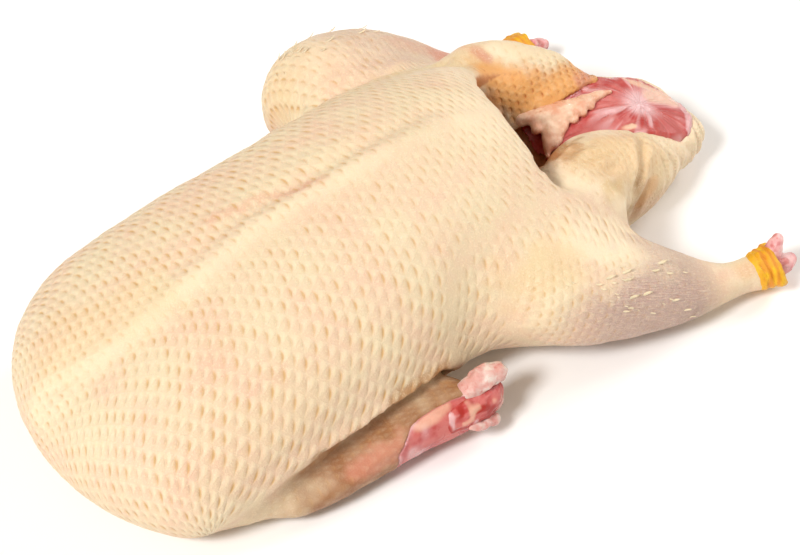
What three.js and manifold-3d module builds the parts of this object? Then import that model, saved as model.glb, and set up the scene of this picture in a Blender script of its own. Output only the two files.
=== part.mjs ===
// A whole raw duck, plucked, drawn and trimmed, lying on its back as it is sold.
// Millimetres, +Z up, +X towards the tail and +Y to the duck's left. The carcass is one solid: breast and
// back, two legs cut at the hock, two wings cut at the elbow, and the tail behind the open vent. The four
// cut bones are pieces of their own, each running through its limb and ending in a bare knob.

import * as THREE from "three";
import { mergeVertices } from "three/addons/utils/BufferGeometryUtils.js";
import Module from "manifold-3d";

const wasm = await Module();
wasm.setup();

// ---------------------------------------------------------------- driving dimensions

const KEEL_RISE = 2.5; // how far the breastbone's keel stands above the breast muscles
const KEEL_HALF_WIDTH = 7;
const KEEL_START = 40; // where the keel rises out of the breast, from the neck end
const KEEL_END = 232; // where it has sunk into the belly
const NECK_HOLLOW = 3; // depth of the hollow between the arms of the wishbone
const NECK_HOLLOW_X = 22;
const NECK_HOLLOW_REACH = 15;
const BLEND_REACH = 15; // how far from a join the flesh is drawn into a smooth hollow
const BLEND_PASSES = 14;
const BLEND_STRENGTH = 0.6;
const BONE_GAP = 0.4; // clear gap all round a bone
const BONE_SIDES = 8;
const SHANK_RADIUS = 3.6;
const WING_BONE_RADIUS = 3.8;
const TABLE_SIZE = 1000;

// Everything is built from lobes: runs of flesh or bone through stations of
// [x, y, z, half width, half height]. The first tables make the closed body.

const TORSO = [
  [4.5, 0, 28.5, 67.5, 32],
  [28.5, -0.5, 28.5, 71, 36.5],
  [53, -1.5, 29, 72.5, 40],
  [81.5, -1, 32, 72, 45],
  [109.5, 1, 34.5, 69.5, 48.5],
  [138, 2, 36.5, 67, 50],
  [166.5, 5, 40.5, 62.5, 50],
  [191, 6.5, 43.5, 58.5, 48.5],
  [214, 3, 42.5, 57.5, 48.5],
  [232, 0.5, 40.5, 57, 47.5],
  [250, 0, 39.5, 52.5, 44],
  [268, 0, 38, 46, 38.5],
];

const TAIL = [
  [196, 8, 17, 38, 19],
  [232, 2, 15, 44, 21],
  [265.5, 0, 16, 40.5, 21],
  [296.5, 0, 17.5, 32.5, 21],
  [320.5, -2.5, 17.5, 24, 17.5],
  [338, -6, 18, 16, 13.5],
  [348, -7.5, 17.5, 11, 9],
];

const LEFT_THIGH = [
  [168, 39, 39, 23, 26.5],
  [199, 46, 39, 30, 32],
  [232, 51.5, 37, 30, 30],
  [262, 49.5, 30, 23, 23],
];

const RIGHT_THIGH = [
  [168, -35.5, 39, 25, 28.5],
  [199, -40.5, 37, 32, 33.5],
  [232, -46, 37, 32, 32],
  [265.5, -51.5, 33.5, 23, 25],
];

// A leg runs from the knee to the hock, where the skin is rolled into a cuff.

const LEFT_LEG = [
  [179.5, 69, 44, 23.5, 24.5],
  [194.5, 76.5, 45, 30.5, 31.5],
  [215.5, 79.5, 42.5, 32, 30],
  [239, 77.5, 35.5, 27.5, 25],
  [262, 76, 26.5, 18.5, 17],
  [281.5, 79, 20, 10.5, 10],
  [301, 80.5, 15.5, 8, 7.5],
  [310, 81.5, 15, 10, 9.5],
  [318, 82, 14.5, 9, 8.5],
];

const RIGHT_LEG = [
  [188, -42, 48, 18, 17],
  [203, -51, 41.5, 25.5, 24.5],
  [223, -60, 35.5, 27.5, 26],
  [248, -71, 28, 23.5, 22],
  [271, -80.5, 19.5, 16.5, 14.5],
  [290.5, -86.5, 14.5, 9.5, 8.5],
  [302.5, -89, 13.5, 8, 7.5],
  [310, -90.5, 13.5, 9.5, 9],
  [317, -92, 13.5, 8.5, 8],
];

const RIGHT_WING = [
  [48, -53, 21, 17.5, 18],
  [75, -62, 17.5, 18, 17],
  [105, -66.5, 16, 15.5, 15],
  [136, -70, 16, 12.5, 13],
  [167.5, -76, 16.5, 11.5, 12],
];

// The drawn belly, open at the vent, and what lies round the vent's mouth.

const CAVITY = [
  [104.5, 0, 39, 26.5, 16],
  [150.5, 0, 40.5, 32, 21],
  [199, 0, 44, 35.5, 25],
  [232, -3, 49.5, 38, 25.5],
  [256, -7, 63.5, 39, 27],
  [282, -8, 94, 40, 29],
];

const RUMP = [
  [252, 10.5, 17.5, 30, 21],
  [281.5, 12.5, 21.5, 26.5, 23],
  [308, 13, 24, 23, 22],
  [329, 6.5, 22, 17.5, 15],
  [343.5, -3.5, 18.5, 11, 10],
];

const LEFT_WALL = [
  [221, 39, 30, 23, 25],
  [252, 37, 32, 19.5, 23],
  [279, 32.5, 32, 16, 19.5],
  [302.5, 27.5, 26.5, 11.5, 14],
];

const LEFT_FLAP = [
  [228.5, 44, 49.5, 19.5, 17.5],
  [251.5, 42.5, 51.5, 22, 17.5],
  [274, 39, 49.5, 19.5, 15],
  [295, 34, 44, 14.5, 12],
  [311, 30, 39.5, 10.5, 9],
];

const RIGHT_FLAP = [
  [221, -39, 39, 17.5, 19.5],
  [244.5, -32.5, 42, 20.5, 22.5],
  [269, -22.5, 38.5, 20.5, 20.5],
  [299, -20, 28, 16.5, 16],
  [325.5, -24, 18.5, 9.5, 9],
];

const HANGING_FOLD = [
  [279.5, -29, 32, 9, 10.5],
  [295.5, -32.5, 22, 9.5, 10.5],
  [307, -29, 11.5, 8, 8],
];

const VENT_FAT = [
  [269, 30, 39, 8, 9],
  [278, 21, 40, 11.5, 9],
  [285, 10.5, 37, 10.5, 8],
  [281.5, 2, 32, 7, 8],
];

// The knobs of a cut bone, as stations measured from the middle of the limb's cut end.

const SHANK_KNOBS = [
  [[-4, 2, -1, 4.5, 4.5], [0, 2.5, 6, 5, 4.5], [3, 3, 12, 3.5, 3]],
  [[-3, 1, -2, 5.5, 5.5], [5, 1, -3, 6, 5.5], [11, 1, -4.5, 4, 4]],
];

const WING_KNOBS = [
  [[-4, 0, 2, 5, 5], [0.5, 0, 6.5, 6, 6], [4, 0, 10, 5.5, 5.5]],
  [[-4, 0, 1, 5, 5], [1, 0, -3, 5.5, 5.5], [5, 0, -5, 4.5, 4.5]],
];

// ---------------------------------------------------------------- solids and surfaces

// A geometry as a solid. Only the positions are kept, so that the shared corners merge.
function solidOf(geometry) {
  const bare = new THREE.BufferGeometry();
  bare.setAttribute("position", geometry.getAttribute("position"));
  bare.setIndex(geometry.index);
  const merged = mergeVertices(bare, 1e-4);
  return new wasm.Manifold(
    new wasm.Mesh({
      numProp: 3,
      vertProperties: merged.attributes.position.array,
      triVerts: new Uint32Array(merged.index.array),
    }),
  );
}

function geometryOf(solid) {
  const mesh = solid.getMesh();
  const geometry = new THREE.BufferGeometry();
  geometry.setAttribute("position", new THREE.BufferAttribute(mesh.vertProperties, 3));
  geometry.setIndex(new THREE.BufferAttribute(mesh.triVerts, 1));
  geometry.computeVertexNormals();
  return geometry;
}

const joined = (geometries) => geometries.map(solidOf).reduce((sum, part) => sum.add(part));

// A closed surface through rings of points. pointAt(u, turn) gives the point at the share u of the length
// and the share turn of the way round; the first and last rings shrink to one point each.
function closedSurface(pointAt, along, around) {
  const points = [];
  const faces = [];
  for (let i = 0; i <= along; i++) {
    for (let j = 0; j < around; j++) {
      points.push(pointAt(i / along, j / around));
    }
  }
  const corner = (i, j) => i * around + (j % around);
  for (let i = 0; i < along; i++) {
    for (let j = 0; j < around; j++) {
      const [a, b, c, d] = [corner(i, j), corner(i, j + 1), corner(i + 1, j + 1), corner(i + 1, j)];
      if (i > 0) faces.push(a, b, d);
      if (i < along - 1) faces.push(b, c, d);
    }
  }
  const geometry = new THREE.BufferGeometry().setFromPoints(points);
  geometry.setIndex(faces);
  return geometry;
}

// The share of the full section at the share u of the length, with a rounded start and end.
function capShare(u, startCap, endCap, roundness) {
  const fromEnd = Math.min(u / startCap, (1 - u) / endCap, 1);
  return (1 - (1 - fromEnd) ** roundness) ** (1 / roundness);
}

// A lobe along a run of stations. Its section is a superellipse, upright across the run.
function lobe(stations, { along, around, startCap = 0.25, endCap = 0.25, roundness = 2.2,
  squareness = 2.2, shape = (point) => point }) {
  const spine = new THREE.CatmullRomCurve3(stations.map(([x, y, z]) => new THREE.Vector3(x, y, z)));
  const positions = stations.map((_, i) => i / (stations.length - 1));
  const sizes = new THREE.CubicInterpolant(positions, stations.flatMap((s) => [s[3], s[4]]), 2);
  const up = new THREE.Vector3(0, 0, 1);
  const squared = (v) => Math.sign(v) * Math.abs(v) ** (2 / squareness);
  return closedSurface((step, turn) => {
    const u = (1 - Math.cos(Math.PI * step)) / 2;
    const [halfWidth, halfHeight] = sizes.evaluate(u);
    const heading = spine.getTangent(u);
    const side = new THREE.Vector3().crossVectors(up, heading).normalize();
    const rise = new THREE.Vector3().crossVectors(heading, side);
    const cap = capShare(u, startCap, endCap, roundness);
    const [cos, sin] = [Math.cos(2 * Math.PI * turn), Math.sin(2 * Math.PI * turn)];
    const point = spine
      .getPoint(u)
      .addScaledVector(side, halfWidth * cap * squared(cos))
      .addScaledVector(rise, halfHeight * cap * squared(sin));
    return shape(point, cap * Math.max(sin, 0));
  }, along, around);
}

// ---------------------------------------------------------------- skin drawn over the joins

// The corners of a joined solid that none of its parts had: they lie on the seams.
function seamCorners(position, parts) {
  const key = (attribute, i) => [attribute.getX(i), attribute.getY(i), attribute.getZ(i)]
    .map((v) => v.toFixed(2)).join();
  const known = new Set();
  for (const part of parts) {
    const own = part.getAttribute("position");
    for (let i = 0; i < own.count; i++) known.add(key(own, i));
  }
  const seam = [];
  for (let i = 0; i < position.count; i++) {
    if (!known.has(key(position, i))) seam.push(i);
  }
  return seam;
}

// The corners next to each corner.
function neighbours(index, count) {
  const next = Array.from({ length: count }, () => new Set());
  for (let f = 0; f < index.count; f += 3) {
    for (let k = 0; k < 3; k++) {
      const [a, b] = [index.getX(f + k), index.getX(f + ((k + 1) % 3))];
      next[a].add(b);
      next[b].add(a);
    }
  }
  return next.map((set) => [...set]);
}

// How far each corner is from the nearest seam, along the edges. Past the reach it is endless.
function seamDistance(points, next, seam, reach) {
  const distance = new Array(points.length).fill(Infinity);
  for (const i of seam) distance[i] = 0;
  let front = seam;
  while (front.length) {
    const reached = new Set();
    for (const i of front) {
      for (const j of next[i]) {
        const through = distance[i] + points[i].distanceTo(points[j]);
        if (through < distance[j] && through < reach) {
          distance[j] = through;
          reached.add(j);
        }
      }
    }
    front = [...reached];
  }
  return distance;
}

// Draws the flesh near the seams into smooth hollows, as skin stretched over a join.
function blended(geometry, parts) {
  const position = geometry.getAttribute("position");
  const points = Array.from(
    { length: position.count },
    (_, i) => new THREE.Vector3().fromBufferAttribute(position, i),
  );
  const next = neighbours(geometry.index, position.count);
  const distance = seamDistance(points, next, seamCorners(position, parts), BLEND_REACH);
  const weight = distance.map((d) => BLEND_STRENGTH * (1 - Math.min(d / BLEND_REACH, 1) ** 2));
  for (let pass = 0; pass < BLEND_PASSES; pass++) {
    const moved = points.map((point, i) => {
      const mean = next[i].reduce((sum, j) => sum.add(points[j]), new THREE.Vector3());
      return point.clone().lerp(mean.divideScalar(next[i].length), weight[i]);
    });
    moved.forEach((point, i) => points[i].copy(point));
  }
  points.forEach((point, i) => position.setXYZ(i, point.x, point.y, point.z));
  return geometry;
}

// ---------------------------------------------------------------- the carcass

const bell = (v) => Math.exp(-v * v);
const mirrored = (stations) => stations.map(([x, y, ...rest]) => [x, -y, ...rest]);
const LEFT_WING = mirrored(RIGHT_WING);

// The torso's top carries the keel, a soft ridge, and the hollow in front of it.
function breast(point, topShare) {
  const { smoothstep } = THREE.MathUtils;
  const run = smoothstep(point.x, KEEL_START - 20, KEEL_START + 20)
    * (1 - smoothstep(point.x, KEEL_END - 35, KEEL_END));
  const hollow = bell((point.x - NECK_HOLLOW_X) / NECK_HOLLOW_REACH) * bell(point.y / NECK_HOLLOW_REACH);
  point.z += topShare * (KEEL_RISE * run * bell(point.y / KEEL_HALF_WIDTH) - NECK_HOLLOW * hollow);
  return point;
}

const legForm = { along: 22, around: 18, startCap: 0.17, endCap: 0.03 };
const thighForm = { along: 12, around: 16, startCap: 0.4, endCap: 0.4 };
const wingForm = { along: 14, around: 14, endCap: 0.08 };
const foldForm = { along: 8, around: 10, startCap: 0.4, endCap: 0.4 };

const body = [
  lobe(TORSO, { along: 34, around: 38, startCap: 0.2, endCap: 0.09, roundness: 2.05, squareness: 2.35,
    shape: breast }),
  lobe(TAIL, { along: 16, around: 20, endCap: 0.12 }),
  lobe(LEFT_LEG, legForm),
  lobe(RIGHT_LEG, legForm),
  lobe(LEFT_THIGH, thighForm),
  lobe(RIGHT_THIGH, thighForm),
  lobe(LEFT_WING, wingForm),
  lobe(RIGHT_WING, wingForm),
];

const cavity = lobe(CAVITY, { along: 16, around: 20, endCap: 0.05, squareness: 3 });

const ventFlesh = [
  lobe(RUMP, { along: 14, around: 16, endCap: 0.15 }),
  lobe(LEFT_WALL, { along: 10, around: 12 }),
  lobe(LEFT_FLAP, { along: 14, around: 14 }),
  lobe(RIGHT_FLAP, { along: 16, around: 16 }),
  lobe(HANGING_FOLD, foldForm),
  lobe(VENT_FAT, foldForm),
];

// ---------------------------------------------------------------- the cut bones

// A bone runs through its limb and ends in knobs that stand out of the cut. mirror is -1 on the side
// where the knobs' y is measured the other way.
function boneLobes(limb, radius, knobs, mirror) {
  const [x, y, z] = limb.at(-1);
  const shaft = limb.slice(2).map(([...at]) => [...at.slice(0, 3), radius, radius]);
  const ends = knobs.map((knob) => knob
    .map(([dx, dy, dz, ...size]) => [x + dx, y + mirror * dy, z + dz, ...size]));
  return [
    lobe(shaft, { along: 10, around: BONE_SIDES }),
    ...ends.map((end) => lobe(end, { along: 6, around: BONE_SIDES, startCap: 0.45, endCap: 0.45 })),
  ];
}

// A lobe grown by the clear gap, to cut the room for a bone.
function grown(geometry) {
  const merged = mergeVertices(geometry, 1e-4);
  merged.computeVertexNormals();
  const { position, normal } = merged.attributes;
  for (let i = 0; i < position.count; i++) {
    const point = new THREE.Vector3().fromBufferAttribute(position, i);
    point.addScaledVector(new THREE.Vector3().fromBufferAttribute(normal, i), BONE_GAP);
    position.setXYZ(i, point.x, point.y, point.z);
  }
  return merged;
}

const bones = {
  left_shank_bone: boneLobes(LEFT_LEG, SHANK_RADIUS, SHANK_KNOBS, -1),
  right_shank_bone: boneLobes(RIGHT_LEG, SHANK_RADIUS, SHANK_KNOBS, 1),
  left_wing_bone: boneLobes(LEFT_WING, WING_BONE_RADIUS, WING_KNOBS, -1),
  right_wing_bone: boneLobes(RIGHT_WING, WING_BONE_RADIUS, WING_KNOBS, 1),
};

// ---------------------------------------------------------------- the duck

// What lies below the table's top is pressed flat.
const belowTable = new THREE.BoxGeometry(TABLE_SIZE, TABLE_SIZE, TABLE_SIZE).translate(0, 0, -TABLE_SIZE / 2);

const drawn = joined(body).subtract(solidOf(cavity)).add(joined(ventFlesh));
const smooth = blended(geometryOf(drawn), [...body, ...ventFlesh, cavity]);
const boneRoom = joined(Object.values(bones).flat().map(grown));
const carcass = solidOf(smooth).subtract(solidOf(belowTable)).subtract(boneRoom);

const skinLook = new THREE.MeshStandardMaterial({ color: 0xf2dcb0, roughness: 0.45, metalness: 0 });
const boneLook = new THREE.MeshStandardMaterial({ color: 0xe2b4a4, roughness: 0.4, metalness: 0 });

function piece(name, solid, look) {
  const mesh = new THREE.Mesh(geometryOf(solid), look);
  mesh.name = name;
  return mesh;
}

const duck = new THREE.Group();
duck.add(piece("carcass", carcass, skinLook));
for (const [name, lobes] of Object.entries(bones)) duck.add(piece(name, joined(lobes), boneLook));

// The origin is at the middle of the duck's outline, on the table.
const middle = new THREE.Box3().setFromObject(duck).getCenter(new THREE.Vector3());
duck.position.set(-middle.x, -middle.y, 0);

export default duck;
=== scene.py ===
from contextlib import contextmanager
import math

import bmesh
import bpy
import numpy as np
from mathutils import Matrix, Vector


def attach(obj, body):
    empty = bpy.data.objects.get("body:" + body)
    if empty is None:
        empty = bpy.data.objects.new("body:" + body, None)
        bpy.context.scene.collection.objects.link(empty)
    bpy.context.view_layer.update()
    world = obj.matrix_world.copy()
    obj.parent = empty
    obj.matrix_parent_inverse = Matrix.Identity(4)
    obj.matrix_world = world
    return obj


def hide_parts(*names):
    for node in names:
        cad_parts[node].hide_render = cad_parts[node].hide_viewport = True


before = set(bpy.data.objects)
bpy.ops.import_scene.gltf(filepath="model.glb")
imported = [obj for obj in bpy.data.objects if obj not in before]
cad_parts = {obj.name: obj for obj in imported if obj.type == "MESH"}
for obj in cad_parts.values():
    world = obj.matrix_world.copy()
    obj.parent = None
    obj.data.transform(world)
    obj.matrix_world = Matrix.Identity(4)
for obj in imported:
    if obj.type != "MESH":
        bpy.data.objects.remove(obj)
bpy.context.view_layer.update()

bl_info = {
    "name": "Whole Raw Duck",
    "version": (1, 0, 0),
    "blender": (4, 5, 0),
    "location": "3D View > Sidebar > Duck",
    "description": "Dresses the packed solids of a whole raw duck with skin, flesh, fat and bone",
    "category": "Object",
}

MM = 0.001

# Where the corner that every place below is drawn from lies, in mm from the frame's origin.
HOME = np.array([-175.731, -5.614, 0.0])

# Each lobe of the body, from head to tail: x, y, z, half width and half height in mm.
TORSO = [[4.5, 0, 28.5, 67.5, 32], [28.5, -0.5, 28.5, 71, 36.5], [53, -1.5, 29, 72.5, 40],
         [81.5, -1, 32, 72, 45], [109.5, 1, 34.5, 69.5, 48.5], [138, 2, 36.5, 67, 50],
         [166.5, 5, 40.5, 62.5, 50], [191, 6.5, 43.5, 58.5, 48.5], [214, 3, 42.5, 57.5, 48.5],
         [232, 0.5, 40.5, 57, 47.5], [250, 0, 39.5, 52.5, 44], [268, 0, 38, 46, 38.5]]
TAIL = [[196, 8, 17, 38, 19], [232, 2, 15, 44, 21], [265.5, 0, 16, 40.5, 21], [296.5, 0, 17.5, 32.5, 21],
        [320.5, -2.5, 17.5, 24, 17.5], [338, -6, 18, 16, 13.5], [348, -7.5, 17.5, 11, 9]]
LEFT_THIGH = [[168, 39, 39, 23, 26.5], [199, 46, 39, 30, 32], [232, 51.5, 37, 30, 30],
              [262, 49.5, 30, 23, 23]]
RIGHT_THIGH = [[168, -35.5, 39, 25, 28.5], [199, -40.5, 37, 32, 33.5], [232, -46, 37, 32, 32],
               [265.5, -51.5, 33.5, 23, 25]]
LEFT_LEG = [[179.5, 69, 44, 23.5, 24.5], [194.5, 76.5, 45, 30.5, 31.5], [215.5, 79.5, 42.5, 32, 30],
            [239, 77.5, 35.5, 27.5, 25], [262, 76, 26.5, 18.5, 17], [281.5, 79, 20, 10.5, 10],
            [301, 80.5, 15.5, 8, 7.5], [310, 81.5, 15, 10, 9.5], [318, 82, 14.5, 9, 8.5]]
RIGHT_LEG = [[188, -42, 48, 18, 17], [203, -51, 41.5, 25.5, 24.5], [223, -60, 35.5, 27.5, 26],
             [248, -71, 28, 23.5, 22], [271, -80.5, 19.5, 16.5, 14.5], [290.5, -86.5, 14.5, 9.5, 8.5],
             [302.5, -89, 13.5, 8, 7.5], [310, -90.5, 13.5, 9.5, 9], [317, -92, 13.5, 8.5, 8]]
RIGHT_WING = [[48, -53, 21, 17.5, 18], [75, -62, 17.5, 18, 17], [105, -66.5, 16, 15.5, 15],
              [136, -70, 16, 12.5, 13], [167.5, -76, 16.5, 11.5, 12]]
LEFT_WING = [[x, -y, z, wide, high] for x, y, z, wide, high in RIGHT_WING]
CAVITY = [[104.5, 0, 39, 26.5, 16], [150.5, 0, 40.5, 32, 21], [199, 0, 44, 35.5, 25],
          [232, -3, 49.5, 38, 25.5], [256, -7, 63.5, 39, 27], [282, -8, 94, 40, 29]]
RUMP = [[252, 10.5, 17.5, 30, 21], [281.5, 12.5, 21.5, 26.5, 23], [308, 13, 24, 23, 22],
        [329, 6.5, 22, 17.5, 15], [343.5, -3.5, 18.5, 11, 10]]
LEFT_WALL = [[221, 39, 30, 23, 25], [252, 37, 32, 19.5, 23], [279, 32.5, 32, 16, 19.5],
             [302.5, 27.5, 26.5, 11.5, 14]]
LEFT_FLAP = [[228.5, 44, 49.5, 19.5, 17.5], [251.5, 42.5, 51.5, 22, 17.5], [274, 39, 49.5, 19.5, 15],
             [295, 34, 44, 14.5, 12], [311, 30, 39.5, 10.5, 9]]
RIGHT_FLAP = [[221, -39, 39, 17.5, 19.5], [244.5, -32.5, 42, 20.5, 22.5], [269, -22.5, 38.5, 20.5, 20.5],
              [299, -20, 28, 16.5, 16], [325.5, -24, 18.5, 9.5, 9]]
HANGING_FOLD = [[279.5, -29, 32, 9, 10.5], [295.5, -32.5, 22, 9.5, 10.5], [307, -29, 11.5, 8, 8]]
VENT_FAT = [[269, 30, 39, 8, 9], [278, 21, 40, 11.5, 9], [285, 10.5, 37, 10.5, 8], [281.5, 2, 32, 7, 8]]

# The lobes of the closed body, and those that stand round the open vent.
BODY = {"torso": TORSO, "tail": TAIL, "left_thigh": LEFT_THIGH, "right_thigh": RIGHT_THIGH,
        "left_leg": LEFT_LEG, "right_leg": RIGHT_LEG, "right_wing": RIGHT_WING, "left_wing": LEFT_WING}
VENT = {"rump": RUMP, "left_wall": LEFT_WALL, "left_flap": LEFT_FLAP, "right_flap": RIGHT_FLAP,
        "hanging_fold": HANGING_FOLD, "vent_fat": VENT_FAT}
LOBES = {**BODY, **VENT}
NAMES = (*LOBES, "cavity")
SIDES = {"left": 1.0, "right": -1.0}  # which way y runs on each side

# The knobs of the cut bones. Those of a shank are measured from the middle of the limb's cut end. Those of a
# wing, and its meat, are drawn for the left side.
SHANK_KNOBS = [[[-4, 2, -1, 4.5, 4.5], [0, 2.5, 6, 5, 4.5], [3, 3, 12, 3.5, 3]],
               [[-3, 1, -2, 5.5, 5.5], [5, 1, -3, 6, 5.5], [11, 1, -4.5, 4, 4]]]
WING_GRISTLE = [[[157, 76, 23, 3.5, 3.5], [163, 75, 26, 5.5, 4.5], [169, 75, 27.5, 6, 4.6],
                 [175, 76.5, 27, 4.5, 4.5]],
                [[163, 79, 21, 4, 4], [170, 79, 17, 4, 5], [173, 78, 12, 4, 4]],
                [[155, 85, 15, 1.6, 1.6], [162, 85.5, 13, 2.8, 2.4], [168, 84, 10, 3, 3]]]
WING_END_MEAT = [[[150, 80, 19, 5, 7], [160, 80, 18.5, 6.5, 7.5], [168, 79, 18, 6, 7.5],
                  [172.5, 78, 18, 4, 6]]]
KNOB_SIZE = 0.92
SHANK_RADIUS = 3.6
WING_BONE_RADIUS = 3.8
# Each hock's side, its cuff's seed, how long and how thick the cuff is made, and how far its knobs rise.
HOCKS = [("left", 2, (2.1, 0.84), 0.35), ("right", 5, (1.0, 0.9), 1.0)]

# The edge of the skin round the open vent, seen from above.
VENT_EDGE = [[244, -20], [248, -17.5], [260, -11.5], [270, -7], [277, -7.5], [289, -9.5], [301, -12.5],
             [312, -16], [325, -20.5], [332, -18], [339.5, -11], [343, -4], [343, 1], [338, 10], [329, 21],
             [319, 27.5], [308, 33], [296, 33], [285, 26], [279, 22], [269, 20], [261, 21], [252, 22],
             [244, 14], [242, -8]]
# The free edges of the far and the near fold of skin at the vent.
FAR_LIP = [[258, 20, 48], [263, 19, 46], [269, 19, 47], [279, 21, 50], [290, 22, 50], [298, 23, 48],
           [309, 27, 46]]
NEAR_LIP = [[248, -17.5, 60], [260, -11.5, 57], [270, -7, 56], [277, -7.5, 54], [289, -9.5, 50],
            [301, -12.5, 45], [312, -16, 38], [325, -20.5, 29]]
FLESH_LOW = 13.0  # the height in mm that the vent's flesh lies above
LOBE_END = 5.0  # how far a lobe reaches past its first and last stations, in mm
FAR_AWAY = 1e9  # more mm than there are anywhere in the duck
POINTS_AT_ONCE = 20000  # keeps the tables of distances small


# ---------------------------------------------------------------- numbers on points

def smoothstep(low, high, value):
    """0 below low, 1 above high, and a smooth rise between them."""
    share = np.clip((value - low) / (high - low), 0.0, 1.0)
    return share * share * (3.0 - 2.0 * share)


def bell(distance, width):
    """1 where distance is 0, and a smooth fall to 0 over about two widths on both sides."""
    return np.exp(-(distance / width) ** 2)


def noise(points, lump, seed):
    """Smooth random values from -1 to 1 at points in mm, with lumps of about the given size in mm."""
    side = 32
    table = np.random.default_rng(seed).uniform(-1.0, 1.0, (side, side, side))
    place = points / lump + 7.31 * seed
    cell = np.floor(place).astype(int)
    part = place - cell
    part = part * part * (3.0 - 2.0 * part)
    total = np.zeros(len(points))
    for dx in (0, 1):
        for dy in (0, 1):
            for dz in (0, 1):
                corner = table[(cell[:, 0] + dx) % side, (cell[:, 1] + dy) % side, (cell[:, 2] + dz) % side]
                weight = np.ones(len(points))
                for axis, step in enumerate((dx, dy, dz)):
                    weight *= part[:, axis] if step else 1.0 - part[:, axis]
                total += corner * weight
    return total


def spine_of(stations, step=3.0):
    """A lobe's axis and sizes, filled in to a row of samples about step mm apart."""
    stations = np.array(stations, float)
    gaps = np.linalg.norm(np.diff(stations[:, :3], axis=0), axis=1)
    mark = np.concatenate([[0.0], np.cumsum(gaps)])
    count = max(int(mark[-1] / step), 4)
    fine = np.linspace(0.0, mark[-1], count)
    return np.stack([np.interp(fine, mark, stations[:, column]) for column in range(5)], axis=1), fine


def lobe_place(points, stations):
    """Of each point: how far out of the lobe it is and its way along it, both in mm, and its angle round it
    from the top."""
    spine, fine = spine_of(stations)
    centres = spine[:, :3]
    heading = np.gradient(centres, axis=0)
    heading /= np.linalg.norm(heading, axis=1)[:, None]
    across = np.cross([0.0, 0.0, 1.0], heading)
    across /= np.linalg.norm(across, axis=1)[:, None]
    rise = np.cross(heading, across)
    depth, way, angle = (np.zeros(len(points)) for _ in range(3))
    for start in range(0, len(points), POINTS_AT_ONCE):
        here = slice(start, start + POINTS_AT_ONCE)
        part = points[here]
        gap = np.linalg.norm(part[:, None, :] - centres[None], axis=2)
        near = gap.argmin(axis=1)
        offset = part - centres[near]
        wide, high = spine[near, 3], spine[near, 4]
        a = np.einsum("ij,ij->i", offset, across[near]) / wide
        b = np.einsum("ij,ij->i", offset, rise[near]) / high
        c = np.einsum("ij,ij->i", offset, heading[near])
        mean = np.sqrt(wide * high)
        past = (near == 0) & (c < 0.0) | (near == len(centres) - 1) & (c > 0.0)
        reach = np.where(past, LOBE_END, mean)
        depth[here] = (np.sqrt(a * a + b * b + (c / reach) ** 2) - 1.0) * mean
        way[here] = fine[near] + c
        angle[here] = np.arctan2(a, b)
    return depth, way, angle


def line_gap(points, line):
    """Distance of each point from a bent line (mm), and its share of the way along it."""
    line = np.array(line, float)
    best = np.full(len(points), FAR_AWAY)
    share = np.zeros(len(points))
    lengths = np.linalg.norm(np.diff(line, axis=0), axis=1)
    passed = 0.0
    for start, end, length in zip(line[:-1], line[1:], lengths):
        way = np.clip((points - start) @ (end - start) / length ** 2, 0.0, 1.0)
        gap = np.linalg.norm(points - (start + way[:, None] * (end - start)), axis=1)
        nearer = gap < best
        best[nearer] = gap[nearer]
        share[nearer] = (passed + way[nearer] * length) / lengths.sum()
        passed += length
    return best, share


def gap_to(points, line):
    """Distance of each point from a bent line, in mm."""
    return line_gap(points, line)[0]


def inside(points, outline):
    """Distance in from a closed outline, in mm, with the sign less than 0 outside it."""
    outline = np.array(outline, float)
    x, y = points[:, 0], points[:, 1]
    best = np.full(len(points), FAR_AWAY)
    crossed = np.zeros(len(points), bool)
    for (ax, ay), (bx, by) in zip(outline, np.roll(outline, -1, axis=0)):
        length2 = (bx - ax) ** 2 + (by - ay) ** 2
        way = np.clip(((x - ax) * (bx - ax) + (y - ay) * (by - ay)) / length2, 0.0, 1.0)
        best = np.minimum(best, np.hypot(x - ax - way * (bx - ax), y - ay - way * (by - ay)))
        if ay != by:
            crossed ^= ((ay > y) != (by > y)) & (x < (bx - ax) * (y - ay) / (by - ay) + ax)
    return np.where(crossed, best, -best)


# ---------------------------------------------------------------- meshes

def read_all(items, name, width=1, kind=float):
    """One property of all of a mesh's vertices, edges or faces, with its width in numbers."""
    flat = np.empty(len(items) * width, kind)
    items.foreach_get(name, flat)
    return flat.reshape(-1, width) if width > 1 else flat


def mesh_points(mesh):
    """A mesh's vertices, in mm from the drawing's corner."""
    return read_all(mesh.vertices, "co", 3) / MM - HOME


def mesh_normals(mesh):
    """The way that each vertex faces."""
    return read_all(mesh.vertex_normals, "vector", 3)


def place_points(mesh, points):
    """Moves a mesh's vertices to points in mm from the drawing's corner."""
    mesh.vertices.foreach_set("co", ((points + HOME) * MM).astype(np.float32).ravel())
    mesh.update()


def mesh_edges(mesh):
    """The two vertices of each edge, by their numbers."""
    return read_all(mesh.edges, "vertices", 2, int)


def smoothed(values, edges, passes, strength=0.5):
    """Values on vertices, each drawn towards the mean of its neighbours'."""
    values = values.astype(float).copy()
    count = np.bincount(edges.ravel(), minlength=len(values)).astype(float)
    count[count == 0] = 1.0
    for _ in range(passes):
        if values.ndim == 1:
            total = np.bincount(edges[:, 0], values[edges[:, 1]], len(values))
            total += np.bincount(edges[:, 1], values[edges[:, 0]], len(values))
            values += strength * (total / count - values)
        else:
            for column in range(values.shape[1]):
                values[:, column] = smoothed(values[:, column], edges, 1, strength)
    return values


@contextmanager
def editing(source, target=None):
    """A mesh opened for edits, which end up in the same mesh or in another one."""
    net = bmesh.new()
    net.from_mesh(source)
    net.verts.ensure_lookup_table()
    yield net
    net.to_mesh(source if target is None else target)
    net.free()


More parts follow.
